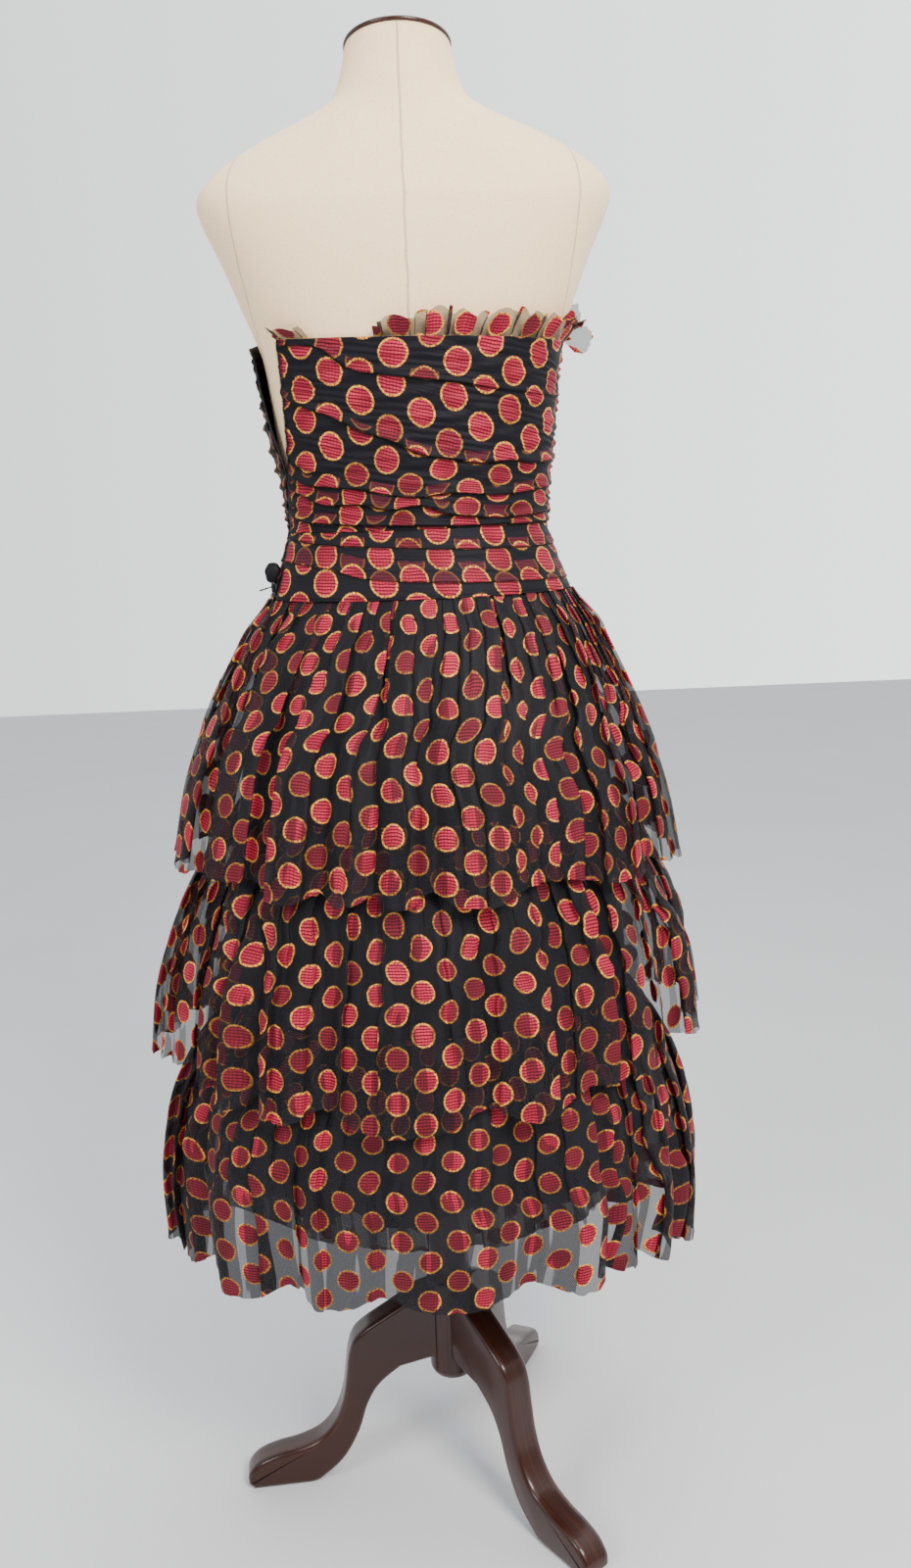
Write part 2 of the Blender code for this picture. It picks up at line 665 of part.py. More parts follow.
def make_bow(ribbon):
    """The black guard ribbon of the zip, bowed out at the yoke's front edge just above the slider."""
    edge = front_edge_angle(BOW_TOP)
    angle = edge - arc_angle(BOW_TOP, EASE, edge, BOW_WIDTH / 2 + BOW_SIDE)
    off = [yoke_off(height) + 2 * GAP for height in (BOW_TOP, BOW_BOTTOM)]
    top, bottom = on_form(angle, BOW_TOP, off[0]), on_form(angle, BOW_BOTTOM, off[1])
    out = outward(angle, BOW_TOP)
    across = Vector((-out.y, out.x, 0)) * BOW_WIDTH / 2
    stations = 12
    middle = []
    for k in range(stations + 1):
        turn = math.pi * k / stations
        middle.append(top.lerp(bottom, (1 - math.cos(turn)) / 2) + out * BOW_REACH * math.sin(turn) ** 0.8)
    rings = []
    for k, point in enumerate(middle):
        along = middle[min(k + 1, stations)] - middle[max(k - 1, 0)]
        if k in (0, stations):
            along = out if k == 0 else -out
        side = along.normalized().cross(across.normalized()) * BOW_THICKNESS / 2
        rings.append([point + side - across, point + side + across, point - side + across,
                      point - side - across])
    return make_loft("zip_guard_bow", rings, ribbon)


def bounds_of(things):
    bpy.context.view_layer.update()
    corners = [thing.matrix_world @ v.co for thing in things for v in thing.data.vertices]
    return [(min(c[i] for c in corners), max(c[i] for c in corners)) for i in range(3)]


def main():
    clear_scene()
    linen = make_material("ecru_linen", (0.73, 0.66, 0.55), 0.85)
    wood = make_material("mahogany", (0.055, 0.022, 0.014), 0.25)
    net = make_material("dotted_net", (0.060, 0.012, 0.015), 0.75)
    black = make_material("black_lining", (0.010, 0.010, 0.014), 0.80)
    chain = make_material("zip_chain", (0.055, 0.058, 0.065), 0.50)
    metal = make_material("black_metal", (0.012, 0.012, 0.014), 0.35, 0.6)

    axis = bpy.data.objects.new("stand_axis", None)
    bpy.context.scene.collection.objects.link(axis)

    things = [make_form(linen), make_neck_cap(wood)]
    things += make_column(wood)
    things += [make_leg(k + 1, math.radians(turn), wood) for k, turn in enumerate(LEG_ANGLES)]
    things.append(make_bodice_panel("bodice_back", "back", BACK_COLUMNS, BACK_ROWS, BACK_FOLDS, net))
    things.append(make_bodice_panel("bodice_front", "front", FRONT_COLUMNS, FRONT_ROWS, FRONT_FOLDS, net))
    things.append(make_yoke("yoke_back", "back", BACK_COLUMNS, net))
    things.append(make_yoke("yoke_front", "front", FRONT_COLUMNS, net))
    things.append(make_zip_chain("zip_chain_back", "back", panel_top("back", 0.0), BACK_ROWS, chain))
    things.append(make_zip_chain("zip_chain_front", "front", panel_top("front", 1.0), FRONT_ROWS, chain))
    things.append(make_skirt_layer("lining", LINING, HEM_LINING, LINING_AROUND, LINING_THICKNESS, black))
    things.append(make_skirt_layer("tier_1", TIER_1, HEM_1, AROUND, NET, net))
    things.append(make_skirt_layer("tier_2", TIER_2, HEM_2, AROUND, NET, net))
    things.append(make_skirt_layer("tier_3", TIER_3, HEM_3, AROUND, NET, net))
    for frill in FRILLS:
        things.append(make_frill(frill, BACK_COLUMNS if frill.side == "back" else FRONT_COLUMNS, net))
    things.append(make_bow(black))
    slider, pull_hinge = make_zip_foot(metal)
    things.append(slider)

    for thing in things + [pull_hinge]:
        thing.parent = axis
    (low_x, high_x), (low_y, high_y), _ = bounds_of(things)
    axis.location = (-(low_x + high_x) / 2, -(low_y + high_y) / 2, 0)


main()
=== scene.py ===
"""Looks of a strapless party dress with gathered net tiers, on a limbless dress form with a tripod stand.

Metres, +Z up. The dress's back faces -Y, so its wearer's left is -X. Places are worked out round the stand's
column. Angles round the body start at the centre back and grow towards +X.
"""

import json
import math
from collections import namedtuple

import bmesh
import bpy
import numpy as np
from mathutils import Matrix, Vector


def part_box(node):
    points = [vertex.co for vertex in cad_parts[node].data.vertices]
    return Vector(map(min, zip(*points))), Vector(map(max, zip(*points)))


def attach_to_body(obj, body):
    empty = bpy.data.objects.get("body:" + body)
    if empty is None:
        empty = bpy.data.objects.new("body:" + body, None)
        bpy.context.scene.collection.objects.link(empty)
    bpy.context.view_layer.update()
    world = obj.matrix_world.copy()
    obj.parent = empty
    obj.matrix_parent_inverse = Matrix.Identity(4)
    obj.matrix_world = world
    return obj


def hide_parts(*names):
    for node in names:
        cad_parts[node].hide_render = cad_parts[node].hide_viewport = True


# The solids' own dimensions
GAP = 0.0003
FORM_BOTTOM = 0.800
NECK_BASE = 1.4290
NECK_TOP = 1.4925
NECK_TILT = math.tan(math.radians(11))
CAP_THICKNESS = 0.005
CAP_OVERHANG = 0.0012
EASE = 0.0028
WAIST_EASE = 0.0009
WAIST_SNUG = 0.0120
CLOTH = 0.0016
BACK_TOP = 1.2215
FRONT_TOP_RISE = 0.034
YOKE_TOP = 1.052
WAIST_SEAM = 0.990
YOKE_THICKNESS = 0.0046
ZIP_CHAIN = 0.0017
ZIP_GAP = 0.0005
ZIP_HALF_WIDTH = ZIP_GAP / 2 + ZIP_CHAIN + GAP
SPRING_START = 0.62
SIDE_SEAM_ANGLE = math.radians(91)
POLE_RADIUS = 0.0215
HUB_RADIUS = 0.0255
HUB_TOP = 0.232
HUB_BOTTOM = 0.112
LEG_HALF_WIDTH = 0.0165
LEG_ANGLES = (185.6, 305.6, 65.6)
LEG_ROOT_TOP = 0.2260
LEG_ROOT_BOTTOM = 0.1400

SIDES = ("back", "front")

# The woven dots, the net's mesh, the linen's weave and its seams, in millimetres
DOT_RADIUS = 12.9
TIER_DOT_RADIUS = 11.7
DOT_ACROSS = 57.0
DOT_DOWN = 41.7
MESH_PITCH = 1.25
LINEN_PITCH = 0.62
SEAM_ASIDE = 168.0

# Thickness of the sheets
COVERED_NET = 0.0010
LINING_SATIN = 0.0009
ZIP_TAPE = 0.0005

# The zip's foot, and how far apart its loops and the yoke's stitches are
ZIP_BOTTOM = 0.9960
COIL_PITCH = 0.0013
STITCH_PITCH = 0.0032

# How much the rows of dots rise round the body at the bodice's top and at the waist, and where they start
SLOPE_TOP = 0.16
SLOPE_WAIST = 0.066
BODICE_PHASE = (0.0010, 0.0074)
YOKE_PHASE = (-0.0090, -0.0152)

# The tiers' strips: where they are joined, how many degrees apart their unseen folds are, how much closer the
# cloth is gathered at the sides and in front, and how finely it's built
STRIP_START = math.radians(-91)
HIDDEN_SPACING = 6.2
SIDE_CROWD = 0.75
FRONT_CROWD = 0.35
TIER_COLUMNS = 1180
TIER_ROWS = 66
SEAT_TURN = np.linspace(STRIP_START, STRIP_START + 2 * np.pi, 1441)
# Their folds: the turn at a fold's edge in radians, how far it leans and its layers slip in metres, the share
# that is laid the other way, the share of the strip over which folds share its spare length evenly, how much
# of that length they take, and the cloth's bulge between them in radians
FOLD_TURN = (2.25, 2.75)
FOLD_LEAN = 0.011
LAYER_SLIP = 0.008
LAID_BACK = 0.20
EVEN_STRETCH = 0.055
FOLDS_TAKE = 0.96
BULGE = 0.42
# How much closer the net's columns lie at a fold's edge, and how near to it
CLOSER_COLUMNS = 3.4
CLOSER_NEAR = 0.008
# A row's slow drift is smoothed away over a window of its places
SLOW_PLACES = 2000
SLOW_WINDOW = 110
# How far apart the bodice's puckers are at the side seam, and how deep they are
BUNCH_PITCH = 0.0105
BUNCH_DEPTH = 0.0022
# How much the turned tape darkens a panel's edge, and the shares of the panel over which it ends
TAPE_SHADE = 0.92
TAPE_ENDS = (0.012, 0.019)
# The sharpest turn of a frill's cloth, in radians
FRILL_TURN = 2.05

# Camera
CAMERA_AWAY = 1.441
CAMERA_HEIGHT = 1.090
CAMERA_TURN = math.radians(1.1)
CAMERA_PITCH = math.radians(11.8)
CAMERA_ROLL = math.radians(2.23)
FOCAL_PIXELS = 1450.0
FRAME_HEIGHT = 1600.0

# Height, half width, depth to the back, depth to the front and fullness of the form
FORM = (
    (1.4925, 0.0495, 0.0500, 0.0500, 2.0),
    (1.4720, 0.0540, 0.0530, 0.0515, 2.0),
    (1.4540, 0.0605, 0.0570, 0.0535, 2.0),
    (1.4420, 0.0700, 0.0590, 0.0550, 2.0),
    (1.4290, 0.0960, 0.0640, 0.0590, 2.0),
    (1.4130, 0.1320, 0.0720, 0.0650, 2.0),
    (1.3960, 0.1630, 0.0810, 0.0720, 2.05),
    (1.3790, 0.1850, 0.0890, 0.0790, 2.1),
    (1.3630, 0.1960, 0.0960, 0.0860, 2.2),
    (1.3450, 0.1940, 0.1035, 0.0950, 2.3),
    (1.3050, 0.1765, 0.1090, 0.1110, 2.35),
    (1.2600, 0.1590, 0.1080, 0.1270, 2.3),
    (1.2200, 0.1440, 0.1030, 0.1370, 2.25),
    (1.1800, 0.1380, 0.0980, 0.1380, 2.2),
    (1.1300, 0.1330, 0.0910, 0.1230, 2.15),
    (1.0900, 0.1275, 0.0860, 0.1080, 2.1),
    (1.0520, 0.1265, 0.0860, 0.1020, 2.1),
    (1.0250, 0.1320, 0.0910, 0.1030, 2.1),
    (0.9850, 0.1450, 0.1000, 0.1070, 2.1),
    (0.9400, 0.1580, 0.1090, 0.1120, 2.1),
    (0.8800, 0.1670, 0.1180, 0.1160, 2.1),
    (0.8000, 0.1650, 0.1170, 0.1140, 2.1),
)

# Height, how far aside the zip runs, how far the undone front edge stands from it, and its spring
ZIP = (
    (1.2400, 0.1245, 0.0470, 0.0060),
    (1.1900, 0.1225, 0.0310, 0.0070),
    (1.1500, 0.1215, 0.0150, 0.0060),
    (1.1200, 0.1215, 0.0030, 0.0030),
    (1.1000, 0.1220, 0.0000, 0.0005),
    (1.0700, 0.1235, 0.0000, 0.0000),
    (1.0350, 0.1285, 0.0000, 0.0000),
    (0.9850, 0.1400, 0.0000, 0.0000),
)

# Height, half width, back, front, shift to the side and depth of the flutes of each skirt layer
TIER_1 = (
    (0.9880, 0.1502, 0.1062, 0.1130, 0.0000, 0.0000),
    (0.9450, 0.1750, 0.1350, 0.1340, -0.0010, 0.0015),
    (0.8800, 0.2065, 0.1640, 0.1530, -0.0030, 0.0055),
    (0.7980, 0.2370, 0.1890, 0.1700, -0.0040, 0.0090),
    (0.7160, 0.2520, 0.2050, 0.1810, -0.0050, 0.0115),
)
TIER_2 = (
    (0.7800, 0.1940, 0.1480, 0.1360, -0.0030, 0.0000),
    (0.7480, 0.2110, 0.1670, 0.1500, -0.0040, 0.0020),
    (0.6850, 0.2430, 0.1960, 0.1730, -0.0070, 0.0060),
    (0.6000, 0.2690, 0.2170, 0.1860, -0.0095, 0.0100),
    (0.5120, 0.2790, 0.2260, 0.1910, -0.0105, 0.0130),
)
TIER_3 = (
    (0.5750, 0.2110, 0.1630, 0.1450, -0.0070, 0.0000),
    (0.5400, 0.2330, 0.1860, 0.1600, -0.0085, 0.0020),
    (0.4740, 0.2630, 0.2100, 0.1700, -0.0105, 0.0060),
    (0.3820, 0.2780, 0.2170, 0.1670, -0.0110, 0.0110),
    (0.2750, 0.2760, 0.2120, 0.1550, -0.0110, 0.0140),
)
LINING = (
    (0.9880, 0.1485, 0.1043, 0.1110, 0.0000, 0.0000),
    (0.9000, 0.1730, 0.1250, 0.1230, -0.0010, 0.0004),
    (0.7800, 0.1920, 0.1460, 0.1340, -0.0030, 0.0000),
    (0.5750, 0.2090, 0.1610, 0.1430, -0.0070, 0.0000),
    (0.3850, 0.2230, 0.1700, 0.1400, -0.0100, 0.0060),
)

Hem = namedtuple("Hem", "flutes phase back front left right ripple")
HEM_1 = Hem(16, 0.6, 0.006, 0.000, 0.016, 0.006, 0.006)
HEM_2 = Hem(17, 2.1, 0.000, -0.014, 0.026, 0.034, 0.007)
HEM_3 = Hem(18, 4.0, 0.048, -0.107, 0.040, 0.042, 0.009)
HEM_LINING = Hem(9, 1.2, 0.004, 0.000, 0.000, 0.006, 0.006)

# A gathered strip: its cut width, and the angles where its main pleats fall at the hem, seen from behind
Strip = namedtuple("Strip", "width pleats seed")
STRIP_1 = Strip(2.25, (-66, -54, -42, -31, -22, -11, -5, 1, 7, 13, 20, 27, 33, 39, 45, 52, 61), 11)
STRIP_2 = Strip(2.45, (-70, -60, -51, -43, -33, -25, -17, -8, -2, 5, 12, 17, 25, 33, 41, 48, 57, 66), 23)
STRIP_3 = Strip(2.30, (-72, -66, -57, -51, -38, -28, -22, -11, -4, 1, 9, 14, 24, 29, 37, 43, 49, 54, 64), 37)

# A leg's outline: how far each point is from the column, and its height. The top runs out to the foot, and the
# underside runs back.
LEG_TOP = (
    (0.046, 0.2140), (0.075, 0.1970), (0.098, 0.1830), (0.111, 0.1710), (0.118, 0.1520), (0.122, 0.1250),
    (0.127, 0.0980), (0.137, 0.0730), (0.154, 0.0540), (0.178, 0.0440), (0.203, 0.0390), (0.224, 0.0310),
    (0.236, 0.0180), (0.237, 0.0060),
)
LEG_UNDERSIDE = (
    (0.231, 0.0000), (0.168, 0.0000), (0.148, 0.0090), (0.127, 0.0280), (0.110, 0.0580), (0.099, 0.0900),
    (0.084, 0.1140), (0.058, 0.1340),
)

# Creases of the ruched bodice: rows of the panel's share, the height and how much cloth the fold hides there.
# The cloth above a crease hangs over it by the fold's depth, which eases away over its width.
Crease = namedtuple("Crease", "path depth width")
# A fold that hides this much cloth stands out fully, and this is how soon it falls back under its edge
FULL_FOLD = 0.012
FOLD_LIP = 0.0013
BACK_CREASES = (
    Crease(((0.00, 1.2230, 0.0190), (0.10, 1.2225, 0.0190), (0.17, 1.2170, 0.0190), (0.225, 1.2030, 0.0185),
            (0.27, 1.1960, 0.0180), (0.32, 1.1930, 0.0175), (0.46, 1.1850, 0.0125), (0.61, 1.1770, 0.0085),
            (0.75, 1.1735, 0.0070), (1.00, 1.1720, 0.0060)), 0.0022, 0.0075),
    Crease(((0.00, 1.2020, 0.0015), (0.10, 1.2010, 0.0015), (0.30, 1.1975, 0.0000), (1.00, 1.1980, 0.0000)),
           0.0016, 0.0060),
    Crease(((0.00, 1.1880, 0.0015), (0.13, 1.1800, 0.0015), (0.28, 1.1660, 0.0000), (1.00, 1.1620, 0.0000)),
           0.0016, 0.0070),
    Crease(((0.00, 1.1800, 0.012), (0.11, 1.1667, 0.015), (0.195, 1.1575, 0.016), (0.27, 1.1440, 0.015),
            (0.345, 1.1350, 0.014), (0.425, 1.1205, 0.016), (0.495, 1.1158, 0.018), (0.57, 1.1112, 0.020),
            (0.665, 1.1130, 0.021), (0.75, 1.1105, 0.020), (0.89, 1.1125, 0.018), (1.00, 1.1160, 0.016)),
           0.0034, 0.0095),
    Crease(((0.00, 1.1240, 0.010), (0.09, 1.1120, 0.006), (0.22, 1.1060, 0.003), (0.40, 1.1010, 0.001),
            (1.00, 1.1000, 0.001)), 0.0012, 0.0060),
    Crease(((0.00, 1.1120, 0.014), (0.09, 1.0990, 0.018), (0.20, 1.0942, 0.018), (0.29, 1.0908, 0.018),
            (0.365, 1.0855, 0.018), (0.435, 1.0822, 0.019), (0.51, 1.0850, 0.018), (0.585, 1.0833, 0.018),
            (0.675, 1.0820, 0.018), (0.89, 1.0875, 0.018), (1.00, 1.0900, 0.016)), 0.0026, 0.0070),
    Crease(((0.00, 1.0960, 0.016), (0.09, 1.0880, 0.020), (0.19, 1.0780, 0.022), (0.295, 1.0772, 0.022),
            (0.375, 1.0715, 0.022), (0.445, 1.0745, 0.020), (0.51, 1.0665, 0.022), (0.615, 1.0618, 0.022),
            (0.70, 1.0606, 0.022), (0.88, 1.0635, 0.022), (1.00, 1.0660, 0.020)), 0.0026, 0.0065),
    Crease(((0.00, 1.0720, 0.014), (0.115, 1.0625, 0.016), (0.195, 1.0612, 0.018), (0.305, 1.0580, 0.018),
            (0.425, 1.0565, 0.018), (0.525, 1.0552, 0.018), (0.60, 1.0545, 0.018), (1.00, 1.0540, 0.018)),
           0.0030, 0.0060),
)
FRONT_CREASES = (
    Crease(((0.00, 1.2120, 0.010), (0.30, 1.2230, 0.006), (0.60, 1.2260, 0.012), (1.00, 1.2100, 0.016)),
           0.0016, 0.0080),
    Crease(((0.00, 1.1940, 0.016), (0.35, 1.2030, 0.010), (0.65, 1.2010, 0.006), (1.00, 1.1860, 0.014)),
           0.0022, 0.0090),
    Crease(((0.00, 1.1700, 0.012), (0.30, 1.1760, 0.016), (0.62, 1.1820, 0.010), (1.00, 1.1640, 0.012)),
           0.0024, 0.0090),
    Crease(((0.00, 1.1500, 0.014), (0.40, 1.1530, 0.010), (0.72, 1.1560, 0.018), (1.00, 1.1440, 0.014)),
           0.0026, 0.0090),
    Crease(((0.00, 1.1300, 0.018), (0.34, 1.1260, 0.016), (0.70, 1.1310, 0.012), (1.00, 1.1260, 0.018)),
           0.0026, 0.0085),
    Crease(((0.00, 1.1120, 0.016), (0.30, 1.1080, 0.018), (0.66, 1.1100, 0.016), (1.00, 1.1090, 0.016)),
           0.0024, 0.0075),
    Crease(((0.00, 1.0960, 0.018), (0.36, 1.0910, 0.018), (0.70, 1.0940, 0.020), (1.00, 1.0940, 0.016)),
           0.0024, 0.0070),
    Crease(((0.00, 1.0790, 0.018), (0.40, 1.0740, 0.020), (0.70, 1.0760, 0.018), (1.00, 1.0770, 0.018)),
           0.0026, 0.0065),
    Crease(((0.00, 1.0640, 0.018), (0.40, 1.0600, 0.018), (0.70, 1.0600, 0.018), (1.00, 1.0620, 0.018)),
           0.0028, 0.0060),
)
# The hip yoke's one crease, and the folded lower edge of its upper layer
YOKE_CREASES = (
    Crease(((0.00, 1.0480, 0.010), (0.185, 1.0417, 0.014), (0.295, 1.0392, 0.016), (0.40, 1.0367, 0.017),
            (0.485, 1.0345, 0.018), (0.59, 1.0330, 0.018), (0.835, 1.0322, 0.016), (1.00, 1.0340, 0.014)),
           0.0012, 0.0050),
)
YOKE_LIP = ((0.00, 1.0255), (0.14, 1.0215), (0.23, 1.0175), (0.305, 1.0095), (0.38, 1.0058), (0.50, 1.0027),
            (0.60, 1.0012), (1.00, 0.9985))
YOKE_LAYER_SHIFT = 0.026
# How far the yoke's edge laps over the top of the first tier
YOKE_LAP = 0.0018


class Wire:
    """A socket of a finish; sums and products of wires add Math nodes."""

    def __init__(self, finish, socket):
        self.finish = finish
        self.socket = socket

    def math(self, operation, *values):
        return self.finish.node("ShaderNodeMath", values, operation=operation)

    def __add__(self, other):
        return self.math("ADD", self, other)

    def __radd__(self, other):
        return self.math("ADD", other, self)

    def __sub__(self, other):
        return self.math("SUBTRACT", self, other)

    def __rsub__(self, other):
        return self.math("SUBTRACT", other, self)

    def __mul__(self, other):
        return self.math("MULTIPLY", self, other)

    def __rmul__(self, other):
        return self.math("MULTIPLY", other, self)

    def __truediv__(self, other):
        return self.math("DIVIDE", self, other)

    def __pow__(self, other):
        return self.math("POWER", self, other)

    def __abs__(self):
        return self.math("ABSOLUTE", self)

    def rounded(self):
        return self.math("ROUND", self)

    def fraction(self):
        return self.math("FRACT", self)

    def sine(self):
        return self.math("SINE", self)

    def larger(self, other):
        return self.math("MAXIMUM", self, other)

    def smaller(self, other):
        return self.math("MINIMUM", self, other)

    def rise(self, low, high):
        """0 below low, 1 above high, and smooth between them."""
        return self.finish.node(
            "ShaderNodeMapRange", {"Value": self, "From Min": low, "From Max": high},
            interpolation_type="SMOOTHSTEP",
        )


class Finish:
    """A material in the making."""

    def __init__(self, name):
        self.material = bpy.data.materials.new(name)
        self.material.use_nodes = True
        self.tree = self.material.node_tree
        self.shader = self.tree.nodes["Principled BSDF"]

    def feed(self, socket, value):
        if isinstance(value, Wire):
            self.tree.links.new(value.socket, socket)
        else:
            socket.default_value = value

    def node(self, kind, values=(), output=0, **settings):
        node = self.tree.nodes.new(kind)
        for key, value in settings.items():
            setattr(node, key, value)
        for key, value in values.items() if isinstance(values, dict) else enumerate(values):
            self.feed(node.inputs[key], value)
        return Wire(self, node.outputs[output])

    def surface(self, gloss=0.5, **values):
        self.shader.inputs["Specular IOR Level"].default_value = gloss
        for key, value in values.items():
            self.feed(self.shader.inputs[key.replace("_", " ").title()], value)

    def blend(self, share, first, second):
        return self.node("ShaderNodeMix", {0: share, 6: first, 7: second}, output=2, data_type="RGBA")

    def place(self):
        """Object coordinates in millimetres."""
        where = self.node("ShaderNodeTexCoord", output="Object")
        return self.node("ShaderNodeVectorMath", {0: where, "Scale": 1000.0}, operation="SCALE")

    def cloth(self):
        """The cloth's own coordinates in millimetres: across it, down it, and both as one vector."""
        where = self.node("ShaderNodeUVMap", uv_map="Cloth")
        scaled = self.node("ShaderNodeVectorMath", {0: where, "Scale": 1000.0}, operation="SCALE")
        parts = self.node("ShaderNodeSeparateXYZ", (scaled,)).socket.node.outputs
        return Wire(self, parts[0]), Wire(self, parts[1]), scaled

    def mark(self, name):
        """A value painted on the piece's points."""
        return self.node("ShaderNodeAttribute", output="Fac", attribute_name=name)

    def stretched(self, vector, x, y, z):
        return self.node("ShaderNodeVectorMath", {0: vector, 1: (x, y, z)}, operation="MULTIPLY")

    def noise(self, vector, size, detail=2.0, roughness=0.5):
        """Soft noise whose lumps are about that many millimetres wide."""
        return self.node(
            "ShaderNodeTexNoise",
            {"Vector": vector, "Scale": 1.0 / size, "Detail": detail, "Roughness": roughness},
        )

    def bump(self, height, distance, strength=1.0, under=None):
        """Relief from a height of 0 to 1; distance is its depth in metres."""
        values = {"Height": height, "Distance": distance, "Strength": strength}
        if under is not None:
            values["Normal"] = under
        return self.node("ShaderNodeBump", values)


def colour(red, green, blue):
    return (red, green, blue, 1.0)


RED = colour(0.55, 0.031, 0.070)
RED_SHADE = colour(0.085, 0.002, 0.008)
GOLD = colour(0.88, 0.52, 0.045)
MAROON = colour(0.085, 0.0110, 0.0200)
GROUND = colour(0.0028, 0.0026, 0.0046)
NET_THREAD = colour(0.0105, 0.0100, 0.0130)
# Dots dimmed by a net layer over them, and partly by painted shade in the folds
VEILED_AND_SHADED = colour(0.018, 0.0060, 0.0080)


def nearest_dot(finish, across, down):
    """Millimetres to the middle of the nearest dot, on the cloth's half-drop repeat, and that dot's own
    number from 0 to 1."""
    found = []
    for shift in (0.0, 0.5):
        u = across / DOT_ACROSS + shift
        v = down / DOT_DOWN + shift
        column, line = u.rounded(), v.rounded()
        u = (u - column) * DOT_ACROSS
        v = (v - line) * DOT_DOWN
        place = finish.node("ShaderNodeCombineXYZ", (column + shift * 77, line, 0.0))
        chance = finish.node("ShaderNodeTexWhiteNoise", (place,), noise_dimensions="2D")
        found.append(((u * u + v * v) ** 0.5, chance))
    (one, one_chance), (other, other_chance) = found
    nearer = other.math("LESS_THAN", other, one)
    return one.smaller(other), one_chance + (other_chance - one_chance) * nearer


def woven_dots(finish, across, down, where, radius):
    """Masks of the dots and of their beaded gold edge, the dots' ribbed weave and each dot's own number."""
    ragged = finish.noise(where, 1.1, 1.0)
    reach, chance = nearest_dot(finish, across, down)
    bead = finish.noise(where, 0.85, 0.0)
    reach = reach + (ragged - 0.5) * 1.6 + (bead - 0.5) * 1.5
    dot = 1 - reach.rise(radius - 0.4, radius + 0.4)
    ring = reach.rise(radius - 2.0, radius - 1.3) * dot
    patchy = finish.noise(where, 1.9, 0.0).rise(0.38, 0.56)
    ring = ring * (patchy * 0.80 + 0.20) * (bead.rise(0.35, 0.55) * 0.7 + 0.3)
    soft = finish.noise(where, 9.0, 1.0)
    ribs = (down * (2 * math.pi / 2.9) + soft * 4.0).sine() * 0.5 + 0.5
    cross = (across * (2 * math.pi / 3.1) + soft * 6.0).sine() * 0.5 + 0.5
    weave = ribs.rise(0.0, 0.70) * (cross.rise(0.0, 0.5) * 0.45 + 0.55)
    return dot, ring, weave, chance


def dotted_colour(finish, dot, ring, weave, ground, where):
    shade = finish.noise(where, 34.0, 1.0).rise(0.25, 0.75)
    red = finish.blend(weave * (shade * 0.55 + 0.45), RED_SHADE, RED)
    return finish.blend(ring, finish.blend(dot, ground, red), GOLD)


def make_net_finish(name, doubled, cover):
    """Fine black net with woven dots: closed at the dots, and as close as cover says between its threads.
    Long strips look folded double, darker and closer; their darker dots are partly painted shade. They are those
    where a noise stays under doubled."""
    finish = Finish(name)
    across, down, where = finish.cloth()
    dot, ring, weave, chance = woven_dots(finish, across, down, where, TIER_DOT_RADIUS)
    streak = finish.noise(finish.stretched(where, 1.0, 0.10, 1.0), 15.0, 1.0)
    folded = 1 - streak.rise(doubled, doubled + 0.015)
    # Painted shade together with the net's veiling: dots dimmed on the folded strips and a share of dots at
    # random
    veil_and_shade = folded.larger(chance.rise(0.70, 0.72))
    one = abs(((across * 0.87 + down * 0.5) / MESH_PITCH).fraction() - 0.5) * 2
    other = abs(((across * 0.87 - down * 0.5) / MESH_PITCH).fraction() - 0.5) * 2
    thread = one.larger(other).rise(0.55, 0.80) * 0.20 + folded * 0.18 + cover
    tint = dotted_colour(finish, dot, ring, weave, NET_THREAD, where)
    tint = finish.blend(veil_and_shade * dot * 0.62, tint, VEILED_AND_SHADED)
    relief = finish.bump(dot * 0.5 + weave * dot * 0.5, 0.00025)
    finish.surface(
        gloss=0.12, base_color=tint, alpha=thread.larger(dot), roughness=0.60 - ring * 0.25,
        metallic=ring * 0.15, normal=relief,
    )
    return finish.material


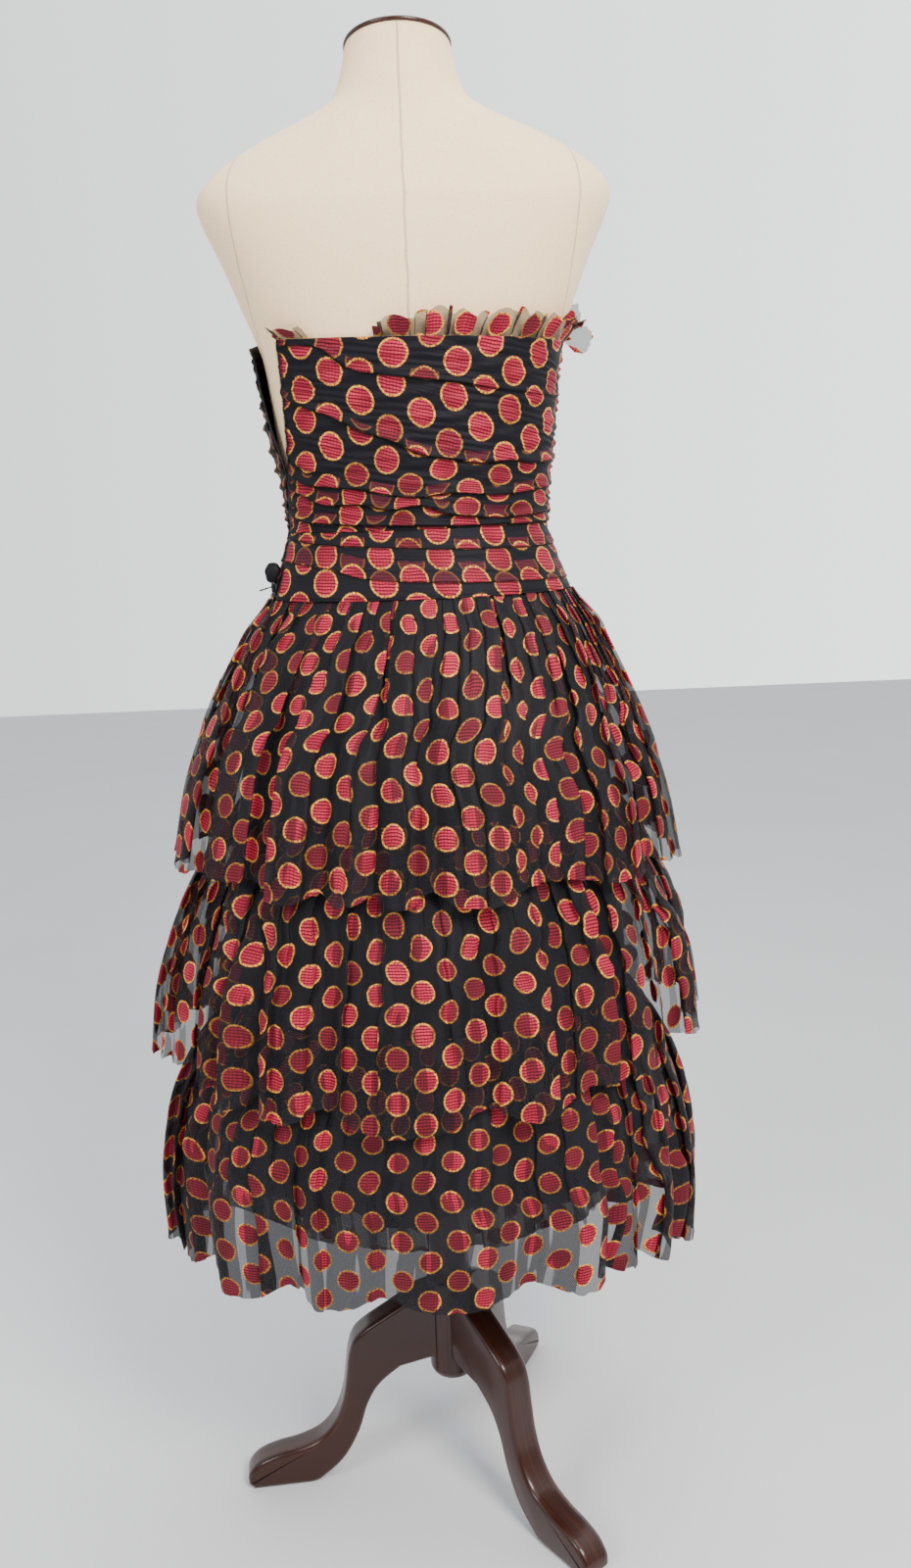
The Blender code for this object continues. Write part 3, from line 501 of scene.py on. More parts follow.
def make_covered_finish():
    """The dotted net over its black ground. Where it lies double, the lower layer's dots show darkly."""
    finish = Finish("dotted_net_on_black")
    across, down, where = finish.cloth()
    dot, ring, weave, chance = woven_dots(finish, across, down, where, DOT_RADIUS)
    beneath = down + finish.mark("beneath") * 1000.0
    hidden, _ = nearest_dot(finish, across, beneath)
    hidden = hidden + (finish.noise(where, 1.1, 1.0) - 0.5) * 1.6
    hidden_dot = (1 - hidden.rise(DOT_RADIUS - 0.4, DOT_RADIUS + 0.4)) * finish.mark("layers")
    hidden_ring = hidden.rise(DOT_RADIUS - 1.8, DOT_RADIUS - 1.2) * hidden_dot
    grain = finish.noise(finish.stretched(where, 0.25, 1.0, 1.0), 1.6, 2.0)
    cloud = finish.noise(where, 22.0, 3.0)
    ground = finish.blend(grain * 0.6 + cloud * 0.4, GROUND, colour(0.0086, 0.0080, 0.0124))
    maroon = finish.blend(weave, colour(0.030, 0.005, 0.009), MAROON)
    beneath_dot = finish.blend(hidden_ring * 0.6, maroon, colour(0.16, 0.075, 0.015))
    ground = finish.blend(hidden_dot, ground, beneath_dot)
    tint = dotted_colour(finish, dot, ring, weave, ground, where)
    # Painted shade together with the net's veiling: a share of dots dimmed at random, and dots where the net
    # lies double
    veil_and_shade = chance.rise(0.60, 0.95) * dot * 0.45 + finish.mark("layers") * dot * 0.20
    tint = finish.blend(veil_and_shade, tint, VEILED_AND_SHADED)
    # The shade mark paints shade into the colour: painted shade under the creases and under the yoke's folded
    # lip, and the real black of the zip tape at the panel's edge
    tint = finish.blend(finish.mark("shade"), tint, colour(0.0020, 0.0018, 0.0024))
    crinkle = finish.noise(finish.stretched(where, 0.14, 1.0, 1.0), 6.0, 3.0)
    relief = finish.bump(crinkle, 0.0022, 0.8)
    relief = finish.bump(dot * 0.5 + weave * dot * 0.5 + grain * 0.15, 0.00025, under=relief)
    finish.surface(
        gloss=0.12, base_color=tint, roughness=0.62 - ring * 0.25, metallic=ring * 0.15, normal=relief,
    )
    return finish.material


def make_lining_finish():
    finish = Finish("black_lining_satin")
    where = finish.place()
    weave = finish.noise(finish.stretched(where, 1.0, 1.0, 0.2), 0.9, 2.0)
    soft = finish.noise(where, 45.0, 2.0)
    tint = finish.blend(soft, colour(0.0035, 0.0034, 0.0050), colour(0.0060, 0.0058, 0.0080))
    finish.surface(
        gloss=0.15, base_color=tint, roughness=0.50 + weave * 0.2,
        normal=finish.bump(weave, 0.0002, 0.6, under=finish.bump(soft, 0.004, 0.5)),
    )
    return finish.material


def make_linen_finish():
    """Ecru linen: a plain weave with slubs and darker flecks, and its seams as fine grooves."""
    finish = Finish("ecru_linen_weave")
    across, down, where = finish.cloth()
    warp = (across * (2 * math.pi / LINEN_PITCH)).sine()
    weft = (down * (2 * math.pi / LINEN_PITCH)).sine()
    slub = finish.noise(finish.stretched(where, 0.05, 1.0, 1.0), 1.1, 2.0)
    slub_down = finish.noise(finish.stretched(where, 1.0, 0.05, 1.0), 1.1, 2.0)
    fleck = finish.noise(where, 1.6, 0.0).rise(0.73, 0.78)
    broad = finish.noise(where, 60.0, 2.0)
    wander = (finish.noise(finish.stretched(where, 0.0, 1.0, 1.0), 26.0, 1.0) - 0.5) * 3.0
    seam = None
    for place in (0.0, -SEAM_ASIDE, SEAM_ASIDE):
        line = 1 - abs(across - place + wander).rise(0.25, 1.5)
        seam = line if seam is None else seam.larger(line)
    pucker = finish.noise(finish.stretched(where, 0.5, 1.0, 1.0), 7.0, 1.0) * (1 - abs(across).rise(2.0, 12.0))
    thread = finish.blend(broad, colour(0.950, 0.680, 0.385), colour(0.970, 0.720, 0.425))
    thread = finish.blend((slub + slub_down - 0.72).rise(0.0, 0.9), thread, colour(0.99, 0.80, 0.52))
    thread = finish.blend(fleck * 0.5, thread, colour(0.36, 0.27, 0.18))
    thread = finish.blend(seam * 0.55, thread, colour(0.36, 0.29, 0.22))
    weave = (warp * weft) * 0.25 + slub * 0.5 + slub_down * 0.5
    relief = finish.bump(1 - seam + pucker * 0.6, 0.0009, 0.8)
    finish.surface(
        gloss=0.2, base_color=thread, roughness=0.88, normal=finish.bump(weave, 0.00018, 0.9, under=relief),
        sheen_weight=0.2,
    )
    return finish.material


def make_mahogany_finish():
    """Dark, reddish wood under gloss lacquer, its grain running along the piece's own length."""
    finish = Finish("mahogany_lacquer")
    across, down, where = finish.cloth()
    rings = finish.noise(finish.stretched(where, 1.0, 0.045, 1.0), 4.0, 4.0, 0.6)
    pores = finish.noise(finish.stretched(where, 1.0, 0.06, 1.0), 0.8, 2.0).rise(0.60, 0.75)
    cloud = finish.noise(where, 40.0, 2.0)
    wood = finish.blend(rings.rise(0.3, 0.7), colour(0.0120, 0.0026, 0.0014), colour(0.0500, 0.0110, 0.0045))
    wood = finish.blend(cloud * 0.5, wood, colour(0.025, 0.0055, 0.0026))
    wood = finish.blend(pores * 0.7, wood, colour(0.010, 0.004, 0.003))
    finish.surface(
        base_color=wood, gloss=0.3, roughness=0.34 + pores * 0.2, coat_weight=0.28, coat_roughness=0.10,
        normal=finish.bump(rings + pores * -0.4, 0.0002, 0.5),
    )
    return finish.material


def make_coil_finish():
    finish = Finish("zip_coil")
    where = finish.place()
    grain = finish.noise(where, 0.7, 1.0)
    finish.surface(
        base_color=finish.blend(grain, colour(0.010, 0.010, 0.012), colour(0.026, 0.027, 0.031)),
        roughness=0.38 + grain * 0.15, normal=finish.bump(grain, 0.0001, 0.4),
    )
    return finish.material


def make_enamel_finish():
    finish = Finish("black_enamel")
    where = finish.place()
    wear = finish.noise(where, 2.5, 3.0).rise(0.60, 0.72)
    finish.surface(
        base_color=finish.blend(wear * 0.5, colour(0.006, 0.006, 0.007), colour(0.06, 0.056, 0.05)),
        gloss=0.25, roughness=0.34 + wear * 0.2, metallic=wear * 0.4,
    )
    return finish.material


def make_floor_finish():
    finish = Finish("studio_floor")
    where = finish.place()
    soft = finish.noise(where, 260.0, 3.0)
    finish.surface(
        base_color=finish.blend(soft, colour(0.60, 0.61, 0.63), colour(0.66, 0.67, 0.69)),
        roughness=0.8, normal=finish.bump(finish.noise(where, 3.0, 2.0), 0.0004, 0.4),
    )
    return finish.material


def curve_through(rows):
    """A smooth curve through rows of numbers, read by the first column, which rises or falls throughout."""
    rows = np.array(rows, float)
    if rows[0, 0] > rows[-1, 0]:
        rows = rows[::-1]
    at = rows[:, 0]
    slope = np.empty_like(rows)
    slope[1:-1] = (rows[2:] - rows[:-2]) / (at[2:] - at[:-2])[:, None]
    slope[0] = (rows[1] - rows[0]) / (at[1] - at[0])
    slope[-1] = (rows[-1] - rows[-2]) / (at[-1] - at[-2])

    def read(where):
        where = np.clip(np.asarray(where, float), at[0], at[-1])
        k = np.clip(np.searchsorted(at, where, side="right") - 1, 0, len(at) - 2)
        span = (at[k + 1] - at[k])[..., None]
        t = (where - at[k])[..., None] / span
        value = (
            rows[k] * (1 + 2 * t) * (1 - t) ** 2 + slope[k] * span * t * (1 - t) ** 2
            + rows[k + 1] * t * t * (3 - 2 * t) + slope[k + 1] * span * t * t * (t - 1)
        )
        return [value[..., i] for i in range(1, rows.shape[1])]

    return read


read_form = curve_through(FORM)
read_zip = curve_through(ZIP)


def rounded_power(value, power):
    """A power that keeps the value's sign."""
    return np.copysign(np.abs(value) ** power, value)


def oval(angle, half_width, back, front, fullness=2.0):
    """A section of the body: an ellipse at a fullness of 2, and squarer above it."""
    depth = np.where(np.cos(angle) > 0, back, front)
    x = half_width * rounded_power(np.sin(angle), 2.0 / fullness)
    y = -depth * rounded_power(np.cos(angle), 2.0 / fullness)
    return x, y


def on_form(angle, height, off=0.0):
    """Points at a distance off the bare form, at any angle and height."""
    half_width, back, front, fullness = read_form(height)
    x, y = oval(angle, half_width + off, back + off, front + off, fullness)
    return np.stack(np.broadcast_arrays(x, y, height), -1)


def ease(height):
    """How far the cloth stands off the form: least at the waist."""
    return EASE - (EASE - WAIST_EASE) * np.exp(-((height - YOKE_TOP) / WAIST_SNUG) ** 2)


def unit(vectors):
    return vectors / np.linalg.norm(vectors, axis=-1)[..., None]


def run_up(steps):
    """The sum of the steps so far, from 0."""
    return np.concatenate([[0], np.cumsum(steps)])


def closed_ring(grid):
    """A tube's grid with its first column again at its end."""
    return np.concatenate([grid, grid[:, :1]], axis=1)


def smooth_step(value, low, high):
    t = np.clip((value - low) / (high - low), 0, 1)
    return t * t * (3 - 2 * t)


def angle_at_side(height, side, off):
    """The angle at which the form's zip side is that far from the middle."""
    half_width, _, _, fullness = read_form(height)
    share = np.minimum(side / (half_width + off), 0.995)
    return -np.arcsin(share ** (fullness / 2.0))


def arc_angle(height, off, angle, distance):
    """The turn that goes that far along the form's surface."""
    step = math.radians(0.5)
    gap = on_form(angle + step, height, off) - on_form(angle, height, off)
    return distance / np.linalg.norm(gap, axis=-1) * step


def zip_middle(height, off):
    return angle_at_side(height, read_zip(height)[0], off)


def back_edge_angle(height, off=EASE):
    middle = zip_middle(height, off)
    return middle + arc_angle(height, off, middle, ZIP_HALF_WIDTH)


def front_edge_angle(height, off=EASE):
    middle = zip_middle(height, off)
    return middle - arc_angle(height, off, middle, ZIP_HALF_WIDTH + read_zip(height)[1])


def panel_top(side, share):
    """The height of the bodice's top edge, by the panel's share."""
    if side == "back":
        return BACK_TOP + 0.0075 * (1 - share) ** 2
    return BACK_TOP + 0.004 + FRONT_TOP_RISE * np.sin(np.pi * share) ** 1.5


def panel_angle(side, share, height):
    """The angle of a panel's share. The back runs from the zip to the side seam, and the front on to the zip."""
    if side == "back":
        start, end = back_edge_angle(height), SIDE_SEAM_ANGLE - GAP
    else:
        start, end = SIDE_SEAM_ANGLE + GAP * 4, 2 * np.pi + front_edge_angle(height)
    return start + (end - start) * share


def stand_off(side, share, height):
    """How far the undone front springs from the form near the zip."""
    if side == "back":
        return np.zeros_like(height)
    near_edge = np.maximum(0.0, (share - SPRING_START) / (1 - SPRING_START))
    return read_zip(height)[2] * near_edge ** 1.6


def yoke_off(height):
    """How far the yoke's face is from the form."""
    share = np.clip((YOKE_TOP - height) / (YOKE_TOP - WAIST_SEAM), 0, 1)
    return ease(height) + CLOTH + (YOKE_THICKNESS - CLOTH) * share ** 1.5


def running_length(points, axis):
    """The length run so far along each row or column of a grid of points."""
    gaps = np.linalg.norm(np.diff(points, axis=axis), axis=-1)
    run = np.cumsum(gaps, axis=axis)
    return np.concatenate([np.zeros_like(np.take(run, [0], axis=axis)), run], axis=axis)


def attach(thing, node=None, body="dressed_form"):
    """Tells the frame which body a piece rides on, the CAD node it replaces, if any."""
    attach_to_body(thing, body)
    if node:
        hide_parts(node)


def make_cloth(name, points, across, down, finish, closed=False, marks=None):
    """A sheet from a grid of points whose rows run downwards and whose columns run round towards +X.
    across and down give each point's place in the flat cloth; a closed sheet has one more column of them."""
    rows, columns = points.shape[:2]
    c = np.arange(columns if closed else columns - 1)
    r = np.arange(rows - 1)
    r, c = np.meshgrid(r, c, indexing="ij")
    d = (c + 1) % columns
    quads = np.stack([r * columns + c, (r + 1) * columns + c, (r + 1) * columns + d, r * columns + d], -1)
    mesh = bpy.data.meshes.new(name)
    placed = points + np.array([AXIS.x, AXIS.y, 0.0])
    mesh.from_pydata(placed.reshape(-1, 3).tolist(), [], quads.reshape(-1, 4).tolist())
    corners = ((r, c), (r + 1, c), (r + 1, c + 1), (r, c + 1))
    flat = np.stack([np.stack([across[corner], down[corner]], -1) for corner in corners], -2)
    mesh.uv_layers.new(name="Cloth").data.foreach_set("uv", flat.reshape(-1))
    for mark, values in (marks or {}).items():
        painted = mesh.attributes.new(mark, "FLOAT", "POINT")
        painted.data.foreach_set("value", np.ravel(values).astype(np.float32))
    mesh.shade_smooth()
    mesh.materials.append(finish)
    thing = bpy.data.objects.new(name, mesh)
    bpy.context.scene.collection.objects.link(thing)
    return thing


def cap_ends(thing, rows, columns):
    """Closes a tube's two ends with flat faces."""
    bm = bmesh.new()
    bm.from_mesh(thing.data)
    bm.verts.ensure_lookup_table()
    bm.faces.new([bm.verts[k] for k in range(columns)])
    bm.faces.new([bm.verts[(rows - 1) * columns + k] for k in reversed(range(columns))])
    bm.to_mesh(thing.data)
    bm.free()


def make_tube(name, points, finish, node, across=None, down=None, body="dressed_form"):
    """A solid piece from rings of points that run downwards, its two ends closed. Its flat coordinates are
    its own runs, unless others are given."""
    ring = closed_ring(points)
    across = running_length(ring, 1) if across is None else across
    down = running_length(ring, 0) if down is None else down
    thing = make_cloth(name, points, across, down, finish, closed=True)
    cap_ends(thing, *points.shape[:2])
    attach(thing, node, body)
    return thing


def box_middle(node):
    """The middle of a CAD node's box, measured from the column."""
    low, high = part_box(node)
    return (low + high) / 2 - AXIS


def thicken(thing, thickness, inside=None):
    """Gives a sheet its thickness on the inner side, which may have a finish of its own."""
    if inside is not None:
        thing.data.materials.append(inside)
    solid = thing.modifiers.new("thickness", "SOLIDIFY")
    solid.thickness = thickness
    solid.offset = -1.0
    solid.use_even_offset = False
    if inside is not None:
        solid.material_offset = 1
    settle(thing)


def settle(thing):
    """Turns a piece's modifiers into plain mesh."""
    graph = bpy.context.evaluated_depsgraph_get()
    mesh = bpy.data.meshes.new_from_object(thing.evaluated_get(graph))
    thing.modifiers.clear()
    old = thing.data
    thing.data = mesh
    bpy.data.meshes.remove(old)


def declare_sheet(points, closed=False):
    """Works out the diagonals of each of the sheet's cells, and does nothing more with them."""
    ring = closed_ring(points) if closed else points
    a = ring[1:, 1:] - ring[:-1, :-1]
    b = ring[1:, :-1] - ring[:-1, 1:]


def uneven(angle, hem):
    """The angle, stretched and squeezed so that no two flutes are alike."""
    return angle + 0.16 * np.sin(3 * angle + hem.phase) + 0.09 * np.sin(5 * angle + 2 * hem.phase)


def flute_wave(angle, hem):
    """The broad wave of a skirt layer, about 1 on a flute's crest and -1 in its hollow."""
    turn = uneven(angle, hem) * hem.flutes
    wave = np.cos(turn) - 0.22 * np.cos(2 * turn)
    return wave * (0.80 + 0.20 * np.sin(2 * angle + hem.phase) + 0.12 * np.sin(7 * angle))


def hem_shift(angle, share, hem):
    """How far the hem's own level and ripple move a point up or down, more towards the hem."""
    behind, aside = np.cos(angle), np.sin(angle)
    level = np.where(behind > 0, hem.back, hem.front) * behind ** 2
    level = level + np.where(aside > 0, hem.right, hem.left) * aside ** 2
    return share ** 1.6 * (level - hem.ripple * flute_wave(angle, hem) * share)


def seat_run(half_width, back, front):
    """How far round its seat a strip has come at each of SEAT_TURN's angles."""
    x, y = oval(SEAT_TURN, half_width, back, front)
    return run_up(np.hypot(np.diff(x), np.diff(y)))


def folds_of(strip, half_width, back, front):
    """The strip's folds: the ones listed for the back, others like them where it doesn't show, and
    small ones between them that open out further down."""
    random = np.random.default_rng(strip.seed)
    seen = np.radians(np.array(strip.pleats, float))
    hidden = []
    at = math.degrees(seen[-1]) + HIDDEN_SPACING
    end = 360 + math.degrees(seen[0]) - HIDDEN_SPACING * 0.6
    while at < end:
        hidden.append(math.radians(at))
        at += HIDDEN_SPACING * random.uniform(0.7, 1.35)
    angles = (np.concatenate([seen, hidden]) - STRIP_START) % (2 * np.pi) + STRIP_START
    run = seat_run(half_width, back, front)
    behind = np.cos(SEAT_TURN)
    crowd = 1 + SIDE_CROWD * np.sin(SEAT_TURN) ** 2 + FRONT_CROWD * (behind < 0) * behind ** 2
    cloth = run_up((crowd[1:] + crowd[:-1]) / 2 * np.diff(run))
    main = np.sort(np.interp(angles, SEAT_TURN, cloth / cloth[-1]))
    after = np.append(main[1:], main[0] + 1)
    small = main + (after - main) * random.uniform(0.38, 0.62, len(main))
    place = np.concatenate([main, small])
    is_main = np.concatenate([np.ones(len(main), bool), np.zeros(len(main), bool)])
    order = np.argsort(place)
    place, is_main = place[order], is_main[order]
    count = len(place)
    crowd = np.interp(place, cloth / cloth[-1], crowd) * run[-1] / cloth[-1]
    reach = (np.append(place[1:], place[0] + 1) - np.insert(place[:-1], 0, place[-1] - 1)) / 2
    side = np.where(np.arange(count) % 4 < 2, 1.0, -1.0)
    side *= np.where(random.random(count) < LAID_BACK, -1.0, 1.0)
    return {
        "place": place, "main": is_main, "reach": reach, "side": side, "crowd": crowd,
        "jump": random.uniform(-LAYER_SLIP, LAYER_SLIP, count),
        "fade": np.where(is_main, 9.0, random.uniform(0.12, 0.62, count)),
        "turn": random.uniform(*FOLD_TURN, count),
        "lean": random.uniform(-FOLD_LEAN, FOLD_LEAN, count),
        "width": random.uniform(0.55, 1.5, count),
        "beat": random.uniform(0, 2 * np.pi, count),
    }


def fold_turns(folds, place, share, width, seat):
    """How far the cloth's direction turns from its seat's, in radians, at each place of one row, so that the
    folds take up what the strip is longer than its seat."""
    kept = 1 - smooth_step(share, folds["fade"] - 0.12, folds["fade"] + 0.12)
    beat = 1 + 0.25 * np.sin(6 * share + folds["beat"])
    own = folds["reach"] * kept * folds["width"] * beat
    given = folds["reach"] * (1 - kept)
    own = own + np.where(folds["main"], (np.roll(given, 1) + np.roll(given, -1)) / 2, 0.0)
    # Even spending: what a stretch of the strip hides follows its length, not how many folds it has
    near = np.abs((folds["place"][:, None] - folds["place"][None, :] + 0.5) % 1.0 - 0.5) < EVEN_STRETCH
    own = own * (near @ folds["reach"]) / np.maximum(near @ own, 1e-6)
    own = own * np.maximum(1 - seat / width / folds["crowd"], 0.06)
    taken = (width - seat) * FOLDS_TAKE
    long = own * taken / (own * (1 - np.cos(folds["turn"]))).sum()
    middle = folds["place"] + folds["lean"] / width * share
    away = ((place[:, None] - middle[None, :] + 0.5) % 1.0 - 0.5) * width
    soft = 0.0013 + 0.0008 * share
    box = np.tanh((away + long / 2) / soft) - np.tanh((away - long / 2) / soft)
    turns = (box / 2 * folds["side"] * folds["turn"] * smooth_step(long, 0.0, 0.003)).sum(axis=1)
    order = np.searchsorted(folds["place"], place)
    before = folds["place"][order - 1] - (order == 0)
    after = folds["place"][order % len(folds["place"])] + (order == len(folds["place"]))
    bulge = 0.5 - (place - before) / (after - before)
    return turns + BULGE * bulge * (0.4 + 0.6 * smooth_step(share, 0.1, 0.5)), long


def gathered_row(turns, place, width, reach):
    """Lays a row of cloth on a shorter seat: how far along the seat each point comes, and how far out."""
    step = np.diff(place, append=place[0] + 1) * width
    along = run_up(np.cos(turns) * step)
    out = run_up(np.sin(turns) * step)
    along *= reach / along[-1]
    at = np.append(place - place[0], 1.0)
    out -= out[-1] * at
    even = np.linspace(0, 1, SLOW_PLACES, endpoint=False)
    level = np.interp(even, at, out)
    padded = np.concatenate([level[-SLOW_WINDOW:], level, level[:SLOW_WINDOW]])
    slow = np.convolve(padded, np.hanning(2 * SLOW_WINDOW + 1) / SLOW_WINDOW, mode="valid")
    return along[:-1], out[:-1] - np.interp(at[:-1], even, slow)


def tier_points(levels, hem, strip, columns, rows):
    """A net tier: a straight strip gathered at its top edge, whose gathers open into folds towards its hem.
    Its columns lie closest where the folds turn."""
    read = curve_through(levels)
    top, bottom = levels[0][0], levels[-1][0]
    folds = folds_of(strip, *read((top + bottom) / 2)[:3])
    even = np.linspace(0, 1, 6000)
    away = ((even[:, None] - folds["place"][None, :] + 0.5) % 1.0 - 0.5) * strip.width
    near = np.exp(-((away / CLOSER_NEAR) ** 4)) * np.where(folds["main"], 1.0, 0.8)
    run = np.cumsum(1 + (CLOSER_COLUMNS * near).max(axis=1))
    place = np.interp((np.arange(columns) + 0.5) / columns, (run - run[0]) / (run[-1] - run[0]), even)
    points = np.empty((rows, columns, 3))
    down = np.zeros((rows, columns))
    slipped = np.zeros((rows, columns))
    for row in range(rows):
        share = (row / (rows - 1)) ** 1.15
        height = top + (bottom - top) * share
        half_width, back, front, shift, flute = (float(v) for v in read(height))
        run = seat_run(half_width, back, front)
        turns, long = fold_turns(folds, place, share, strip.width, run[-1])
        along, out = gathered_row(turns, place, strip.width, run[-1])
        angle = np.interp(along, run, SEAT_TURN)
        free = 0.30 + 0.70 * smooth_step(share, 0.0, 0.14)
        size = out * free + flute * 0.8 * flute_wave(angle, hem)
        hem_crinkle = np.sin(place * 2 * np.pi * 150 + 2 * np.sin(place * 70))
        size += 0.0010 * math.exp(-((1 - share) / 0.03) ** 2) * hem_crinkle
        size = np.maximum(size, -0.022 * smooth_step(share, 0.0, 0.2) - 0.0012)
        x, y = oval(angle, half_width + size, back + size, front + size)
        points[row] = np.stack([x + shift, y, height + hem_shift(angle, share, hem)], -1)
        jumps = folds["jump"] * smooth_step(long, 0.0, 0.008)
        passed = (place[:, None] - folds["place"][None, :]) * strip.width
        shifted = (jumps * smooth_step(passed, -0.004, 0.004)).sum(axis=1) - jumps.sum() * (place - place[0])
        slipped[row] = shifted + strip.seed * 0.0031
        if row:
            step = np.hypot(points[row, :, 2] - points[row - 1, :, 2], np.hypot(x, y) - far)
            down[row] = down[row - 1] + step
        far = np.hypot(x, y)
    down += slipped
    across = np.append(place, place[0] + 1) * strip.width
    return points, np.broadcast_to(across, (rows, columns + 1)), closed_ring(down)


def make_tier(name, levels, hem, strip, net):
    """A net tier, whose length is measured down the cloth."""
    points, across, down = tier_points(levels, hem, strip, TIER_COLUMNS, TIER_ROWS)
    thing = make_cloth(name + "_net", points, across, down, net, closed=True)
    attach(thing, name)
    declare_sheet(points, closed=True)


def make_lining(satin):
    """The black underskirt that shows through the net."""
    rows, columns = 56, 220
    read = curve_through(LINING)
    height = np.linspace(LINING[0][0], LINING[-1][0], rows)[:, None]
    share = (LINING[0][0] - height) / (LINING[0][0] - LINING[-1][0])
    angle = np.linspace(0, 2 * np.pi, columns, endpoint=False)[None, :] + STRIP_START
    half_width, back, front, shift, flute = read(height)
    fold = flute * flute_wave(angle, HEM_LINING)
    x, y = oval(angle, half_width + fold, back + fold, front + fold)
    points = np.stack(np.broadcast_arrays(x + shift, y, height + hem_shift(angle, share, HEM_LINING)), -1)
    down = closed_ring(running_length(points, 0))
    across = np.broadcast_to(np.linspace(0, 1.25, columns + 1), down.shape)
    thing = make_cloth("underskirt", points, across, down, satin, closed=True)
    thicken(thing, LINING_SATIN)
    attach(thing, "lining")


def crease_relief(creases, share, height):
    """What the folds do to the cloth at each point: how far it stands out, how much of it the folds above have
    hidden, where it lies double, how far down the cloth its lower layer is, and where a fold shades it."""
    shape = np.broadcast(share, height).shape
    out, hidden, layers, beneath, shade = (np.zeros(shape) for _ in range(5))
    for crease in creases:
        low, taken = curve_through(crease.path)(share)
        away = height - low
        strength = np.clip(taken / FULL_FOLD, 0.10, 1.0)
        above = np.cos(np.clip(away / crease.width, 0, 1) * np.pi / 2) ** 1.5
        below = np.clip(1 + away / FOLD_LIP, 0, 1)
        out = np.maximum(out, crease.depth * strength * np.where(away >= 0, above, below))
        hidden += taken * smooth_step(-away, -0.0001, 0.0012)
        half = taken / 2
        double = smooth_step(away, -0.0010, 0.0002) * (1 - smooth_step(away, half - 0.001, half + 0.001))
        layers = np.maximum(layers, double)
        beneath = np.where(double > 0.02, 2 * away, beneath)
        # Painted shade in the valley just under the crease
        shaded = np.exp(np.clip(away + 0.0008, None, 0) / 0.0022) * (away < 0.0002)
        shade = np.maximum(shade, 0.85 * strength * shaded)
    return out, hidden, layers, beneath, shade


def from_zip(side, share):
    """A panel's share, counted from its edge at the zip."""
    return share if side == "back" else 1 - share


def make_panel(name, side, points, across, down, net, black, node, layers, beneath, shade):
    """A panel of dotted net over black, with the zip's black tape turned over its edge."""
    share = from_zip(side, np.linspace(0, 1, points.shape[1])[None, :])
    tape = TAPE_SHADE * (1 - smooth_step(share, *TAPE_ENDS))
    # The shade mark: painted shade from the folds, and the tape's own black
    marks = {"layers": layers, "beneath": beneath, "shade": np.maximum(shade, tape)}
    thing = make_cloth(name, points, across, down, net, marks=marks)
    thicken(thing, COVERED_NET, black)
    attach(thing, node)
    declare_sheet(points)


def make_bodice_panel(side, creases, net, black):
    """A ruched panel, bunched at the side seam. Its folds are laid as listed, and its dots run on under them."""
    columns, rows = (140, 230) if side == "back" else (130, 150)
    share = np.linspace(0, 1, columns)[None, :]
    top = panel_top(side, share)
    part = np.linspace(0, 1, rows)[:, None]
    height = top + (YOKE_TOP + GAP - top) * part
    angle = panel_angle(side, share, height)
    read = from_zip(side, share)
    out, hidden, layers, beneath, shade = crease_relief(creases, read, height)
    rim = np.minimum(1, np.minimum((top - height) / 0.008, (height - YOKE_TOP) / 0.003))
    edge = np.minimum(1, np.minimum(share, 1 - share) * 14 + 0.30)
    seam = np.exp(-((1 - read) / 0.035) ** 2)
    pucker = 0.5 + 0.5 * np.sin(height * 2 * np.pi / BUNCH_PITCH + 2 * np.sin(height * 210))
    bunch = seam * BUNCH_DEPTH * pucker
    crinkle = 0.0005 * np.sin(height * 720 + 9 * share + 3 * np.sin(share * 17 + height * 120))
    crinkle = crinkle + 0.0006 * np.sin(height * 330 + 14 * read + 2 * np.sin(share * 11))
    off = ease(height) + stand_off(side, share, height) + CLOTH
    off = off + (out * edge + crinkle + bunch) * np.clip(rim, 0, 1)
    points = on_form(angle, height, off)
    slope = SLOPE_TOP + (SLOPE_WAIST - SLOPE_TOP) * smooth_step(top - height, 0.11, 0.17)
    across = np.broadcast_to(running_length(points, 1)[rows // 2], (rows, columns))
    down = (BACK_TOP - height) + hidden - slope * across + BODICE_PHASE[1]
    make_panel(
        f"bodice_{side}_ruched", side, points, across + BODICE_PHASE[0], down, net, black, f"bodice_{side}",
        layers, beneath, shade,
    )


